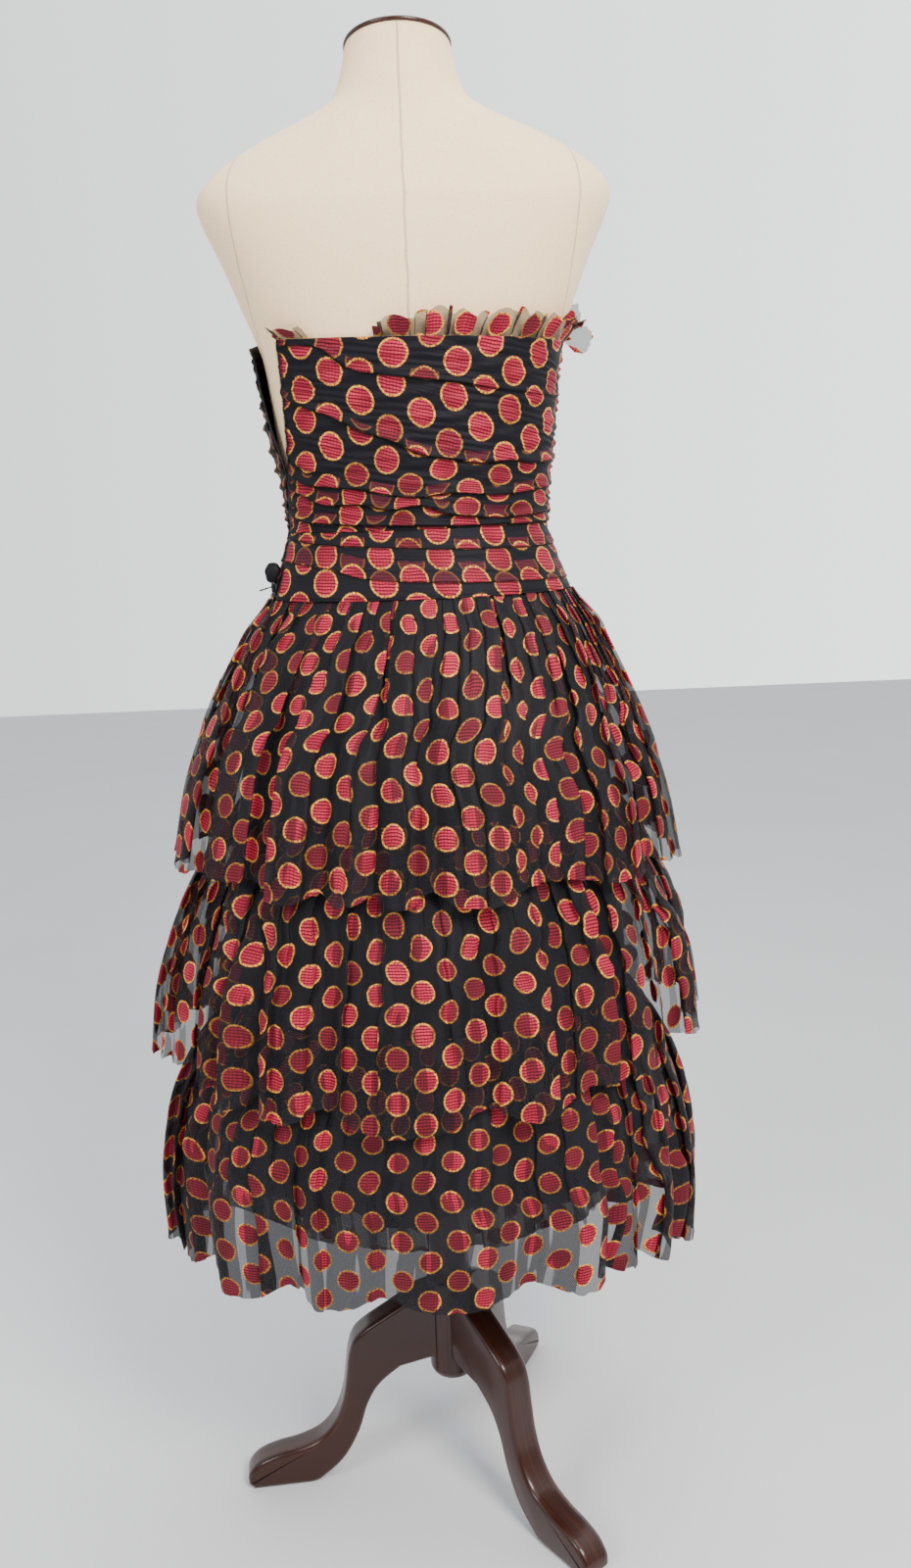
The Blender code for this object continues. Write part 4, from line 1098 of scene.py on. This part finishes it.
def make_yoke(side, net, black):
    """The smooth hip yoke: an upper layer of net that ends in a folded edge above the waistband."""
    columns, rows = 150, 70
    share = np.linspace(0, 1, columns)[None, :]
    height = np.linspace(YOKE_TOP, WAIST_SEAM - YOKE_LAP, rows)[:, None]
    angle = panel_angle(side, share, height)
    read = from_zip(side, share)
    lip = curve_through(YOKE_LIP)(read)[0]
    step = smooth_step(height, lip - 0.0005, lip + 0.0005)
    out, hidden, layers, beneath, shade = crease_relief(YOKE_CREASES, read, height)
    swell = 0.0005 * np.sin(height * 420 + 5 * share) * smooth_step(height, lip, lip + 0.02)
    off = yoke_off(height) + 0.0008 * step - 0.0006 + swell + out
    off = off + 0.0009 * np.exp(-((height - lip - 0.0012) / 0.0011) ** 2)
    points = on_form(angle, height, off)
    across = np.broadcast_to(running_length(points, 1)[rows // 2], (rows, columns))
    down = (YOKE_TOP - height) + hidden + YOKE_LAYER_SHIFT * step - SLOPE_WAIST * across + YOKE_PHASE[1]
    beneath = np.where(layers > 0.02, beneath, -YOKE_LAYER_SHIFT)
    layers = np.maximum(layers, step * (height < lip + 0.019))
    # Painted shade under the folded lip of the yoke's upper layer
    shade = np.maximum(shade, 0.8 * np.exp(-np.clip(lip - height, 0, None) / 0.0012) * (1 - step))
    make_panel(
        f"hip_yoke_{side}", side, points, across + YOKE_PHASE[0], down, net, black, f"yoke_{side}",
        layers, beneath, shade,
    )


def pressed_row(turns, width, reach):
    """Bends a row of cloth by its turns, more and more, until it's as short as its seat."""
    low, high = 0.0, 6.0
    for _ in range(30):
        middle = (low + high) / 2
        if np.cos(np.clip(turns * middle, -FRILL_TURN, FRILL_TURN)).mean() > reach / width:
            low = middle
        else:
            high = middle
    place = np.arange(len(turns)) / len(turns)
    return gathered_row(np.clip(turns * low, -FRILL_TURN, FRILL_TURN), place, width, reach)


# A frill: its panel's side, where on the panel it starts and ends, how long it was cut, how high it stands,
# how far it sways and how far, in radians, it rolls outward at its start
Frill = namedtuple("Frill", "name side first last cut height sway roll")
FRILLS = (
    Frill("frill_back", "back", 0.30, 1.0, 0.480, 0.0240, 0.85, 0.0),
    Frill("frill_front", "front", 0.0, 0.80, 0.720, 0.0250, 0.85, 0.80),
    Frill("frill_tucked", "back", 0.0, 0.125, 0.110, 0.0105, 0.45, 0.0),
)
# The frill waves once for each dot, and a row of dots lies this high on it
FRILL_WAVE = DOT_ACROSS / 1000
FRILL_DOTS = 0.0110


def make_frill(frill, net):
    """A net frill on the top edge. It's pinched between its dots and curls out round each of them."""
    columns, rows = 440 if frill.last - frill.first > 0.3 else 90, 16
    place = (np.arange(columns) + 0.5) / columns
    seat_share = np.linspace(frill.first, frill.last, 400)
    top = panel_top(frill.side, seat_share)
    stand = ease(top) + stand_off(frill.side, seat_share, top) + 0.0005
    seat = on_form(panel_angle(frill.side, seat_share, top), top, stand)
    run = running_length(seat[None], 1)[0]
    cloth = place * frill.cut + 0.007 * np.sin(place * frill.cut * 41)
    beat = (cloth / FRILL_WAVE) % 1.0 - 0.5
    turns = np.sin(2 * np.pi * beat) * np.exp(-((beat / 0.24) ** 2))
    turns *= 1 + 0.3 * np.sin(place * frill.cut * 63)
    turns += 0.16 * np.sin(2 * np.pi * place * frill.cut / 0.0131)
    along, out = pressed_row(turns, frill.cut, run[-1])
    base = np.stack([np.interp(along, run, seat[:, i]) for i in range(3)], -1)
    at = np.interp(along, run, seat_share)
    angle = panel_angle(frill.side, at, base[:, 2])
    outward = unit(on_form(angle, base[:, 2], 0.01) - on_form(angle, base[:, 2]))
    lift = 0.82 + 0.13 * np.cos(2 * np.pi * beat * 2) + 0.10 * np.sin(place * frill.cut * 52 + 1)
    begin = smooth_step(place, 0.0, 0.16 if frill.side == "back" else 0.01)
    flop = 0.5 * np.maximum(0.0, np.sin(place * frill.cut * 37))
    roll = 0.05 + frill.roll * np.exp(-((at * 20 / 2.4) ** 2)) + flop
    points = np.empty((rows, columns, 3))
    for row in range(rows):
        share = 1 - row / (rows - 1)
        tall = frill.height * lift * (0.35 + 0.65 * begin)
        rise = GAP + tall * np.sin(roll * share) / roll
        puff = tall * (1 - np.cos(roll * share)) / roll
        lean = on_form(angle, base[:, 2] + rise) - on_form(angle, base[:, 2])
        curl = 0.0035 * share ** 3 * np.cos(2 * np.pi * beat)
        away = 0.0030 * share + puff + (out * frill.sway + 0.003) * share ** 0.7 + curl + 0.0006
        points[row] = base + lean + outward * np.maximum(away, 0.0008)[:, None]
    across = np.broadcast_to(np.linspace(0, frill.cut, columns), (rows, columns))
    down = running_length(points[::-1], 0)[::-1]
    thing = make_cloth(frill.name + "_net", points, across, FRILL_DOTS - down, net)
    attach(thing, frill.name)
    declare_sheet(points)


# The bunched start of the frill at the side seam: degrees above level, and how far it reaches there
ROSETTE = (
    (-56, 0.0100), (-45, 0.0170), (-27, 0.0255), (8, 0.0280), (28, 0.0260), (40, 0.0235), (50, 0.0290),
    (64, 0.0350), (78, 0.0340), (92, 0.0270), (108, 0.0170),
)


def make_rosette(net):
    """The frill's start at the side seam, bunched into a small upright fan of clear net."""
    share = np.array(0.004)
    top = panel_top("front", share)
    angle = panel_angle("front", share, top)
    seat = on_form(angle, top, ease(top) + stand_off("front", share, top) + 0.0012)
    outward = unit(on_form(angle, top, 0.01) - on_form(angle, top))
    upward = np.array((0.0, 0.0, 1.0))
    beside = np.cross(outward, upward)
    turn = np.linspace(ROSETTE[-1][0], ROSETTE[0][0], 90)
    reach = curve_through(ROSETTE)(turn)[0] * (1 + 0.03 * np.sin(turn * 0.5))
    turn = np.radians(turn)
    part = np.linspace(1.0, 0.05, 16)[:, None]
    level = np.cos(turn) * reach * part + 0.0004
    rise = np.sin(turn) * reach * part + 0.0006
    wave = (0.0080 * np.sin(turn * 5.6 + 0.5) + 0.0030 * np.sin(turn * 17)) * part
    points = seat + level[..., None] * outward + rise[..., None] * upward + wave[..., None] * beside
    across = running_length(points, 1)[8]
    across = np.broadcast_to(across - across[-1] * 0.6, level.shape)
    down = np.broadcast_to(reach * part + 0.0035, level.shape)
    thing = make_cloth("frill_rosette_net", points, across, down, net)
    attach(thing, "frill_front")
    declare_sheet(points)


def chain_line(side, height, deep=0.0):
    """The middle of one half of the zip, and the directions out of the form and across the zip there."""
    middle = zip_middle(height, EASE)
    half = ZIP_GAP / 2 + ZIP_CHAIN / 2
    if side == "back":
        angle = middle + arc_angle(height, EASE, middle, half)
        off = ease(height)
    else:
        angle = middle - arc_angle(height, EASE, middle, half + read_zip(height)[1])
        off = ease(height) + read_zip(height)[2]
    here = on_form(angle, height, off + CLOTH / 2 + deep)
    outward = on_form(angle, height, off + 0.01) - on_form(angle, height, off)
    beside = on_form(angle + 0.01, height, off) - on_form(angle - 0.01, height, off)
    return here, unit(outward), unit(beside)


def small_pill(name, length, width, thickness, around=8, along=5):
    """A small rounded piece lying along X, to be repeated."""
    turn = np.arange(around) / around * 2 * np.pi
    rings = []
    for k in range(along + 1):
        t = math.pi * (k + 0.35) / (along + 0.7)
        size = math.sin(t) ** 0.55
        at = np.full(around, -math.cos(t) * length / 2)
        rings.append(np.stack([at, np.cos(turn) * width / 2 * size, np.sin(turn) * thickness / 2 * size], -1))
    verts = np.concatenate(rings)
    faces = []
    for k in range(0, along * around, around):
        for j in range(around):
            beside = (j + 1) % around
            faces.append((k + around + j, k + around + beside, k + beside, k + j))
    faces.append(tuple(range(around)))
    faces.append(tuple(reversed(range(along * around, (along + 1) * around))))
    mesh = bpy.data.meshes.new(name)
    mesh.from_pydata(verts.tolist(), [], faces)
    mesh.update()
    mesh.shade_smooth()
    return bpy.data.objects.new(name, mesh)


def repeat_group():
    """Copies a piece to every point of a guide, turned by the guide's own turns and slightly uneven in size."""
    group = bpy.data.node_groups.new("repeat_piece", "GeometryNodeTree")
    sockets = (("Guide", "Geometry"), ("Piece", "Object"), ("Finish", "Material"), ("Unevenness", "Float"))
    for name, kind in sockets:
        group.interface.new_socket(name=name, in_out="INPUT", socket_type="NodeSocket" + kind)
    group.interface.new_socket(name="Pieces", in_out="OUTPUT", socket_type="NodeSocketGeometry")
    nodes, links = group.nodes, group.links
    given = nodes.new("NodeGroupInput")
    result = nodes.new("NodeGroupOutput")
    piece = nodes.new("GeometryNodeObjectInfo")
    turn = nodes.new("GeometryNodeInputNamedAttribute")
    turn.data_type = "FLOAT_VECTOR"
    turn.inputs["Name"].default_value = "turn"
    rotation = nodes.new("FunctionNodeEulerToRotation")
    small = nodes.new("ShaderNodeMath")
    small.operation = "SUBTRACT"
    small.inputs[0].default_value = 1.0
    size = nodes.new("FunctionNodeRandomValue")
    size.inputs["Seed"].default_value = 4
    placed = nodes.new("GeometryNodeInstanceOnPoints")
    real = nodes.new("GeometryNodeRealizeInstances")
    dressed = nodes.new("GeometryNodeSetMaterial")
    links.new(given.outputs["Piece"], piece.inputs["Object"])
    links.new(given.outputs["Unevenness"], small.inputs[1])
    links.new(small.outputs[0], size.inputs[2])
    links.new(turn.outputs["Attribute"], rotation.inputs[0])
    links.new(given.outputs["Guide"], placed.inputs["Points"])
    links.new(piece.outputs["Geometry"], placed.inputs["Instance"])
    links.new(rotation.outputs[0], placed.inputs["Rotation"])
    links.new(size.outputs[1], placed.inputs["Scale"])
    links.new(placed.outputs[0], real.inputs[0])
    links.new(real.outputs[0], dressed.inputs["Geometry"])
    links.new(given.outputs["Finish"], dressed.inputs["Material"])
    links.new(dressed.outputs[0], result.inputs[0])
    return group


def repeat_along(name, piece, places, lengthways, outward, finish, unevenness):
    """Lays copies of a piece at places, its X axis lengthways and its Z axis outward."""
    mesh = bpy.data.meshes.new(name)
    placed = places + np.array([AXIS.x, AXIS.y, 0.0])
    mesh.from_pydata(placed.tolist(), [], [])
    turns = []
    for x, z in zip(lengthways, outward):
        x = Vector(x).normalized()
        z = Vector(z)
        z = (z - x * z.dot(x)).normalized()
        turns.append(Matrix((x, z.cross(x), z)).transposed().to_euler())
    mesh.attributes.new("turn", "FLOAT_VECTOR", "POINT").data.foreach_set("vector", np.ravel(turns))
    thing = bpy.data.objects.new(name, mesh)
    bpy.context.scene.collection.objects.link(thing)
    bpy.context.scene.collection.objects.link(piece)
    modifier = thing.modifiers.new("repeat", "NODES")
    modifier.node_group = REPEAT
    inputs = {item.name: item.identifier for item in REPEAT.interface.items_tree if item.in_out == "INPUT"}
    modifier[inputs["Piece"]] = piece
    modifier[inputs["Finish"]] = finish
    modifier[inputs["Unevenness"]] = unevenness
    thing.update_tag()
    bpy.context.view_layer.update()
    settle(thing)
    bpy.data.objects.remove(piece)
    return thing


def make_zip(side, tape_finish, tooth_finish):
    """One half of the nylon zip: its coil's loops, and the edge of the tape that they are sewn to."""
    top = panel_top(side, np.array(0.0 if side == "back" else 1.0))
    height = np.arange(ZIP_BOTTOM + 0.0008, top - 0.001, COIL_PITCH)
    if side == "front":
        height = height + COIL_PITCH / 2
    here, outward, beside = chain_line(side, height)
    loop = small_pill("coil_loop", ZIP_CHAIN + 0.0007, COIL_PITCH * 0.74, 0.0015)
    teeth = repeat_along(f"zip_coil_{side}", loop, here, beside, outward, tooth_finish, 0.04)
    attach(teeth, f"zip_chain_{side}")
    rows, columns = 120, 5
    height = np.linspace(height[-1], WAIST_SEAM - YOKE_LAP / 2, rows)
    line, _, beside = chain_line(side, height, -0.0008)
    edge = np.linspace(-1, 1, columns)[None, :, None]
    points = line[:, None] + beside[:, None] * edge * (ZIP_CHAIN / 2 + 0.0002)
    across = np.broadcast_to(np.linspace(0, 0.002, columns), (rows, columns))
    down = np.broadcast_to((height[0] - height)[:, None], (rows, columns))
    tape = make_cloth(f"zip_tape_{side}", points, across, down, tape_finish)
    thicken(tape, ZIP_TAPE)
    attach(tape, f"zip_chain_{side}")


def make_yoke_stitches(side, thread):
    """Topstitching along the yoke's lower edge."""
    height = np.array(WAIST_SEAM + 0.0012)
    share = np.linspace(0.004, 0.996, 2000)
    line = on_form(panel_angle(side, share, height), height, yoke_off(height) + 0.0002)
    run = running_length(line[None], 1)[0]
    at = np.interp(np.arange(STITCH_PITCH / 2, run[-1], STITCH_PITCH), run, share)
    angle = panel_angle(side, at, height)
    here = on_form(angle, height, yoke_off(height) + 0.0002)
    outward = on_form(angle, height, 0.02) - on_form(angle, height)
    along = on_form(angle + 0.01, height) - on_form(angle - 0.01, height)
    piece = small_pill("stitch", STITCH_PITCH * 0.82, 0.0006, 0.0005, 6, 4)
    attach(repeat_along(f"yoke_stitches_{side}", piece, here, along, outward, thread, 0.10))


def place_block(name, rings, centre, lengthways, sideways, enamel, node, body="dressed_form"):
    """A smooth metal piece from rounded sections. Each has its place along the piece, and half its width and
    thickness, in millimetres."""
    lengthways = lengthways.normalized()
    sideways = (sideways - lengthways * sideways.dot(lengthways)).normalized()
    upward = lengthways.cross(sideways)
    turn = np.arange(16) / 16 * 2 * np.pi
    around = rounded_power(np.cos(turn), 0.6), rounded_power(np.sin(turn), 0.6)
    rings = [[value / 1000 for value in ring] for ring in rings]
    points = np.array([
        [centre + lengthways * at + sideways * (wide * u) + upward * (deep * v) for u, v in zip(*around)]
        for at, wide, deep in rings
    ])
    make_tube(name, points, enamel, node, body=body)


def make_slider_and_tab(enamel):
    """The zip's slider with its two lugs, and the slim tab whose neck hangs between them."""
    joint = frame["joints"][0]
    hinge = Vector(joint["pos_m"]) - AXIS
    reach = box_middle("zip_pull") - hinge
    middle = box_middle("zip_slider")
    across = Vector(joint["axis"])
    upward = Vector((0, 0, 1))
    inward = (middle - hinge) * Vector((1, 1, 0))
    body = (
        (-4.9, 1.9, 1.2), (-4.6, 2.4, 1.6), (-1.5, 2.5, 1.7), (2.0, 3.1, 1.7), (4.4, 3.1, 1.5), (4.9, 2.6, 1.1),
    )
    place_block("slider_body", body, middle, upward, across, enamel, "zip_slider")
    lug = ((-1.6, 0.25, 0.3), (-1.3, 0.4, 0.6), (0.4, 0.4, 0.6), (0.9, 0.25, 0.3))
    for number, aside in ((1, -0.00135), (2, 0.00135)):
        place_block(f"slider_lug_{number}", lug, hinge + across * aside, -inward, across, enamel, "zip_slider")
    tab = (
        (0.5, 0.4, 0.35), (0.9, 0.6, 0.55), (3.0, 0.6, 0.6), (4.2, 1.4, 0.7), (11.0, 1.6, 0.75),
        (11.8, 1.1, 0.5),
    )
    place_block("slim_tab", tab, hinge, reach, across, enamel, "zip_pull", "pull_tab")


def make_guard(tape_finish):
    """The loop of black tape that covers the zip's end, folded flat."""
    low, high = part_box("zip_guard_bow")
    middle, size = box_middle("zip_guard_bow"), high - low
    part = np.linspace(0.02, 0.98, 24)[:, None] * np.pi
    turn = (np.arange(28) / 28 * 2 * np.pi)[None, :]
    bulge = np.sin(part) ** 0.8
    fold = 1 + 0.05 * np.sin(6 * part)
    x = middle.x + rounded_power(np.cos(turn), 0.8) * bulge * fold * size.x * 0.46
    y = middle.y + rounded_power(np.sin(turn), 0.7) * bulge * size.y * 0.46
    z = middle.z + np.cos(part) * size.z * 0.50
    points = np.stack(np.broadcast_arrays(x, y, z), -1)
    make_tube("zip_guard_loop", points, tape_finish, "zip_guard_bow")


def make_form(linen):
    """The form's linen cover. Its flat coordinates are measured from the centre back seam and the neck's top."""
    columns, rows = 140, 120
    height = np.linspace(NECK_TOP, FORM_BOTTOM, rows)[:, None]
    angle = (np.arange(columns) / columns * 2 * np.pi - np.pi)[None, :]
    points = on_form(angle, height)
    share = np.maximum(0.0, (height - NECK_BASE) / (NECK_TOP - NECK_BASE))
    across = running_length(closed_ring(points), 1)
    across = across - across[:, -1:] / 2
    down = np.broadcast_to(NECK_TOP - height, across.shape)
    points[..., 2] -= NECK_TILT * share * points[..., 1]
    make_tube("linen_torso", points, linen, "form_torso", across, down)


def make_turned(name, profile, node, wood, columns=96):
    """A turned piece from a profile of radius and height that runs downwards."""
    profile = np.array(profile, float)
    angle = np.linspace(0, 2 * np.pi, columns, endpoint=False)[None, :]
    radius, height = profile[:, :1], profile[:, 1:2]
    points = np.stack(np.broadcast_arrays(radius * np.sin(angle), -radius * np.cos(angle), height), -1)
    across = np.linspace(0, 2 * np.pi, columns + 1) * POLE_RADIUS
    across = np.broadcast_to(across, (len(profile), columns + 1))
    make_tube(name, points, wood, node, across)


def rounded_profile(corners, radius, steps=6):
    """A profile of radius and height with its inner corners rounded."""
    corners = [np.array(c, float) for c in corners]
    out = [corners[0]]
    for before, corner, after in zip(corners, corners[1:], corners[2:]):
        to_before, to_after = before - corner, after - corner
        reach = min(radius, np.linalg.norm(to_before) * 0.45, np.linalg.norm(to_after) * 0.45)
        start = corner + to_before / np.linalg.norm(to_before) * reach
        end = corner + to_after / np.linalg.norm(to_after) * reach
        for k in range(steps + 1):
            t = k / steps
            out.append(start * (1 - t) ** 2 + corner * 2 * t * (1 - t) + end * t * t)
    out.append(corners[-1])
    return out


def make_cap(wood):
    """The neck's wooden cap, tipped forward with the neck. Its grain runs straight across it."""
    angle = np.linspace(0, 2 * np.pi, 120, endpoint=False)
    edge = (
        (CAP_THICKNESS, -0.0300), (CAP_THICKNESS, -0.0035), (CAP_THICKNESS * 0.96, -0.0012),
        (CAP_THICKNESS * 0.80, 0.0006), (CAP_THICKNESS * 0.55, CAP_OVERHANG),
        (CAP_THICKNESS * 0.30, CAP_OVERHANG), (GAP * 2, 0.0006), (GAP, -0.0010),
    )
    rings = []
    for lift, grow in edge:
        ring = on_form(angle, np.full(len(angle), NECK_TOP), grow)
        ring[:, 2] += lift - NECK_TILT * ring[:, 1]
        rings.append(ring)
    points = np.array(rings)
    ring = closed_ring(points)
    make_tube("cap_of_neck", points, wood, "neck_cap", ring[..., 0], ring[..., 1])


def make_stand(wood):
    """The stand's turned hub and pole."""
    hub = rounded_profile(
        ((0.006, HUB_TOP), (HUB_RADIUS, HUB_TOP), (HUB_RADIUS, HUB_BOTTOM + 0.010),
         (HUB_RADIUS * 0.86, HUB_BOTTOM + 0.0035), (HUB_RADIUS * 0.50, HUB_BOTTOM), (0.004, HUB_BOTTOM)),
        0.0028,
    )
    pole = [(0.004, FORM_BOTTOM - GAP)] + [
        (POLE_RADIUS, FORM_BOTTOM - GAP - (FORM_BOTTOM - HUB_TOP - 2 * GAP) * k / 24) for k in range(25)
    ] + [(0.004, HUB_TOP + GAP)]
    make_turned("turned_hub", hub, "stand_hub", wood)
    make_turned("turned_pole", pole, "stand_pole", wood)


def smooth_line(points, steps=8):
    """A smooth line through points in a plane, with that many steps between each two."""
    points = np.array(points, float)
    out = []
    for k in range(len(points) - 1):
        a, b, c, d = (points[np.clip(k + i, 0, len(points) - 1)] for i in (-1, 0, 1, 2))
        for j in range(steps):
            t = j / steps
            out.append(0.5 * (2 * b + (c - a) * t + (2 * a - 5 * b + 4 * c - d) * t * t
                              + (3 * b - a - 3 * c + d) * t ** 3))
    out.append(points[-1])
    return np.array(out)


def make_leg(number, turn, wood):
    """A sawn leg with rounded edges: its outline at stations across its width, shrunk towards both faces."""
    outline = np.concatenate([smooth_line(LEG_TOP), smooth_line(LEG_UNDERSIDE)])
    outline[:, 1] = np.maximum(outline[:, 1], 0.0)
    stations = [
        (-1.0, 0.0056), (-0.985, 0.0040), (-0.94, 0.0024), (-0.86, 0.0011), (-0.74, 0.0003), (-0.6, 0.0),
        (-0.3, 0.0), (0.0, 0.0),
    ]
    stations += [(-share, inset) for share, inset in reversed(stations[:-1])]
    radial = np.array([math.cos(turn), math.sin(turn), 0.0])
    aside = np.array([-math.sin(turn), math.cos(turn), 0.0])
    ahead = np.roll(outline, -1, axis=0) - np.roll(outline, 1, axis=0)
    inward = np.stack([ahead[:, 1], -ahead[:, 0]], -1)
    inward /= np.linalg.norm(inward, axis=-1)[:, None] + 1e-12
    rings = []
    for share, inset in stations:
        side = share * LEG_HALF_WIDTH
        root = math.sqrt((HUB_RADIUS + 2 * GAP) ** 2 - side ** 2)
        flat = outline + inward * inset
        flat[:, 1] = np.maximum(flat[:, 1], 0.0)
        ends = np.array([[root, LEG_ROOT_BOTTOM + inset], [root, LEG_ROOT_TOP - inset]])
        flat = np.concatenate([ends, flat])
        rings.append(flat[:, :1] * radial + side * aside + flat[:, 1:] * np.array([0, 0, 1.0]))
    points = np.array(rings)
    reach = closed_ring(np.hypot(points[..., 0], points[..., 1]) + 0.6 * points[..., 2])
    sideways = np.array([share for share, _ in stations])[:, None] * LEG_HALF_WIDTH + 0.05 * number
    sideways = np.broadcast_to(sideways, reach.shape)
    leg = make_tube(f"sawn_leg_{number}", points, wood, f"stand_leg_{number}", sideways, reach)
    leg.data.set_sharp_from_angle(angle=math.radians(50))


def place_camera():
    data = bpy.data.cameras.new("camera")
    camera = bpy.data.objects.new("camera", data)
    bpy.context.scene.collection.objects.link(camera)
    data.sensor_width = 36.0
    data.lens = FOCAL_PIXELS / FRAME_HEIGHT * data.sensor_width
    turn = Matrix.Rotation(-CAMERA_TURN, 4, "Z") @ Matrix.Rotation(math.pi / 2 - CAMERA_PITCH, 4, "X")
    turn = turn @ Matrix.Rotation(-CAMERA_ROLL, 4, "Z")
    camera.matrix_world = Matrix.Translation((AXIS.x, AXIS.y - CAMERA_AWAY, CAMERA_HEIGHT)) @ turn
    bpy.context.scene.camera = camera


def place_light(name, where, target_height, size, power, tint):
    """A square lamp that points at a height on the middle line."""
    data = bpy.data.lights.new(name, "AREA")
    data.shape = "RECTANGLE"
    data.size = data.size_y = size
    data.energy = power
    data.color = tint
    light = bpy.data.objects.new(name, data)
    bpy.context.scene.collection.objects.link(light)
    light.location = where
    towards = Vector((0, 0, target_height)) - Vector(where)
    light.rotation_euler = towards.to_track_quat("-Z", "Y").to_euler()


def make_studio(floor_finish):
    """A pale floor, and soft light from all round, brighter beyond the form and to its right."""
    mesh = bpy.data.meshes.new("floor")
    mesh.from_pydata([(-6, -6, 0), (6, -6, 0), (6, 6, 0), (-6, 6, 0)], [], [(0, 1, 2, 3)])
    mesh.materials.append(floor_finish)
    floor = bpy.data.objects.new("floor", mesh)
    bpy.context.scene.collection.objects.link(floor)
    world = bpy.data.worlds.new("studio")
    world.use_nodes = True
    nodes, links = world.node_tree.nodes, world.node_tree.links
    background = nodes["Background"]
    where = nodes.new("ShaderNodeTexCoord")
    parts = nodes.new("ShaderNodeSeparateXYZ")
    depth = nodes.new("ShaderNodeMapRange")
    depth.interpolation_type = "SMOOTHSTEP"
    aside = nodes.new("ShaderNodeMapRange")
    mix = nodes.new("ShaderNodeMix")
    mix.data_type = "RGBA"
    settings = (
        (depth, "From Min", -0.6), (depth, "From Max", 0.5),
        (aside, "From Min", -0.35), (aside, "From Max", 0.35), (aside, "To Min", 1.65), (aside, "To Max", 2.60),
        (mix, 6, colour(0.15, 0.145, 0.14)), (mix, 7, colour(0.825, 0.835, 0.850)),
    )
    for node, socket, value in settings:
        node.inputs[socket].default_value = value
    links.new(where.outputs["Generated"], parts.inputs[0])
    links.new(parts.outputs[0], aside.inputs[0])
    links.new(parts.outputs[1], depth.inputs[0])
    links.new(depth.outputs[0], mix.inputs[0])
    links.new(mix.outputs[2], background.inputs["Color"])
    links.new(aside.outputs[0], background.inputs["Strength"])
    bpy.context.scene.world = world
    place_light("key_light", (1.0, -1.9, 2.35), 1.15, 0.9, 108, (1.0, 0.96, 0.92))
    place_light("fill_light", (-1.6, -1.7, 1.9), 1.05, 0.9, 40, (0.98, 0.985, 1.0))
    place_light("top_light", (0.1, -0.3, 2.9), 0.9, 1.6, 26, (1.0, 1.0, 1.0))


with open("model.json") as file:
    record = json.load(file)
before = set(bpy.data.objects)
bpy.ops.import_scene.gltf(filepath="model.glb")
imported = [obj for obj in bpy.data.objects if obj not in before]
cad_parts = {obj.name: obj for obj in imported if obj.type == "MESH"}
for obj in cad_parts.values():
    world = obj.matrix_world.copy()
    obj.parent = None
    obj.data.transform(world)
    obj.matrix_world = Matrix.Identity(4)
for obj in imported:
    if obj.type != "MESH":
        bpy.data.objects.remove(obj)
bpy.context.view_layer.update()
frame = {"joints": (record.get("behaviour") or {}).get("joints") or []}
low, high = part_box("stand_hub")
AXIS = Vector(((low.x + high.x) / 2, (low.y + high.y) / 2, 0.0))

net = make_net_finish("dotted_net_open", 0.46, 0.49)
# A darker copy of the open net for the lowest tier: more of its strips look folded double, and its closer net
# and dimmer dots are painted shade where the light falls off lower down
lowest_net_shaded = make_net_finish("dotted_net_lowest", 0.54, 0.60)
frill_net = make_net_finish("dotted_net_frill", -1.0, 0.50)
covered = make_covered_finish()
satin = make_lining_finish()
linen = make_linen_finish()
mahogany = make_mahogany_finish()
coil = make_coil_finish()
enamel = make_enamel_finish()

make_form(linen)
make_cap(mahogany)
make_stand(mahogany)
for number, turn in enumerate(LEG_ANGLES):
    make_leg(number + 1, math.radians(turn), mahogany)
for side, creases in zip(SIDES, (BACK_CREASES, FRONT_CREASES)):
    make_bodice_panel(side, creases, covered, satin)
for side in SIDES:
    make_yoke(side, covered, satin)
make_lining(satin)
make_tier("tier_1", TIER_1, HEM_1, STRIP_1, net)
make_tier("tier_2", TIER_2, HEM_2, STRIP_2, net)
make_tier("tier_3", TIER_3, HEM_3, STRIP_3, lowest_net_shaded)
for frill in FRILLS:
    make_frill(frill, frill_net)
make_rosette(frill_net)
REPEAT = repeat_group()
for side in SIDES:
    make_zip(side, satin, coil)
    make_yoke_stitches(side, satin)
make_guard(satin)
make_slider_and_tab(enamel)

place_camera()
make_studio(make_floor_finish())
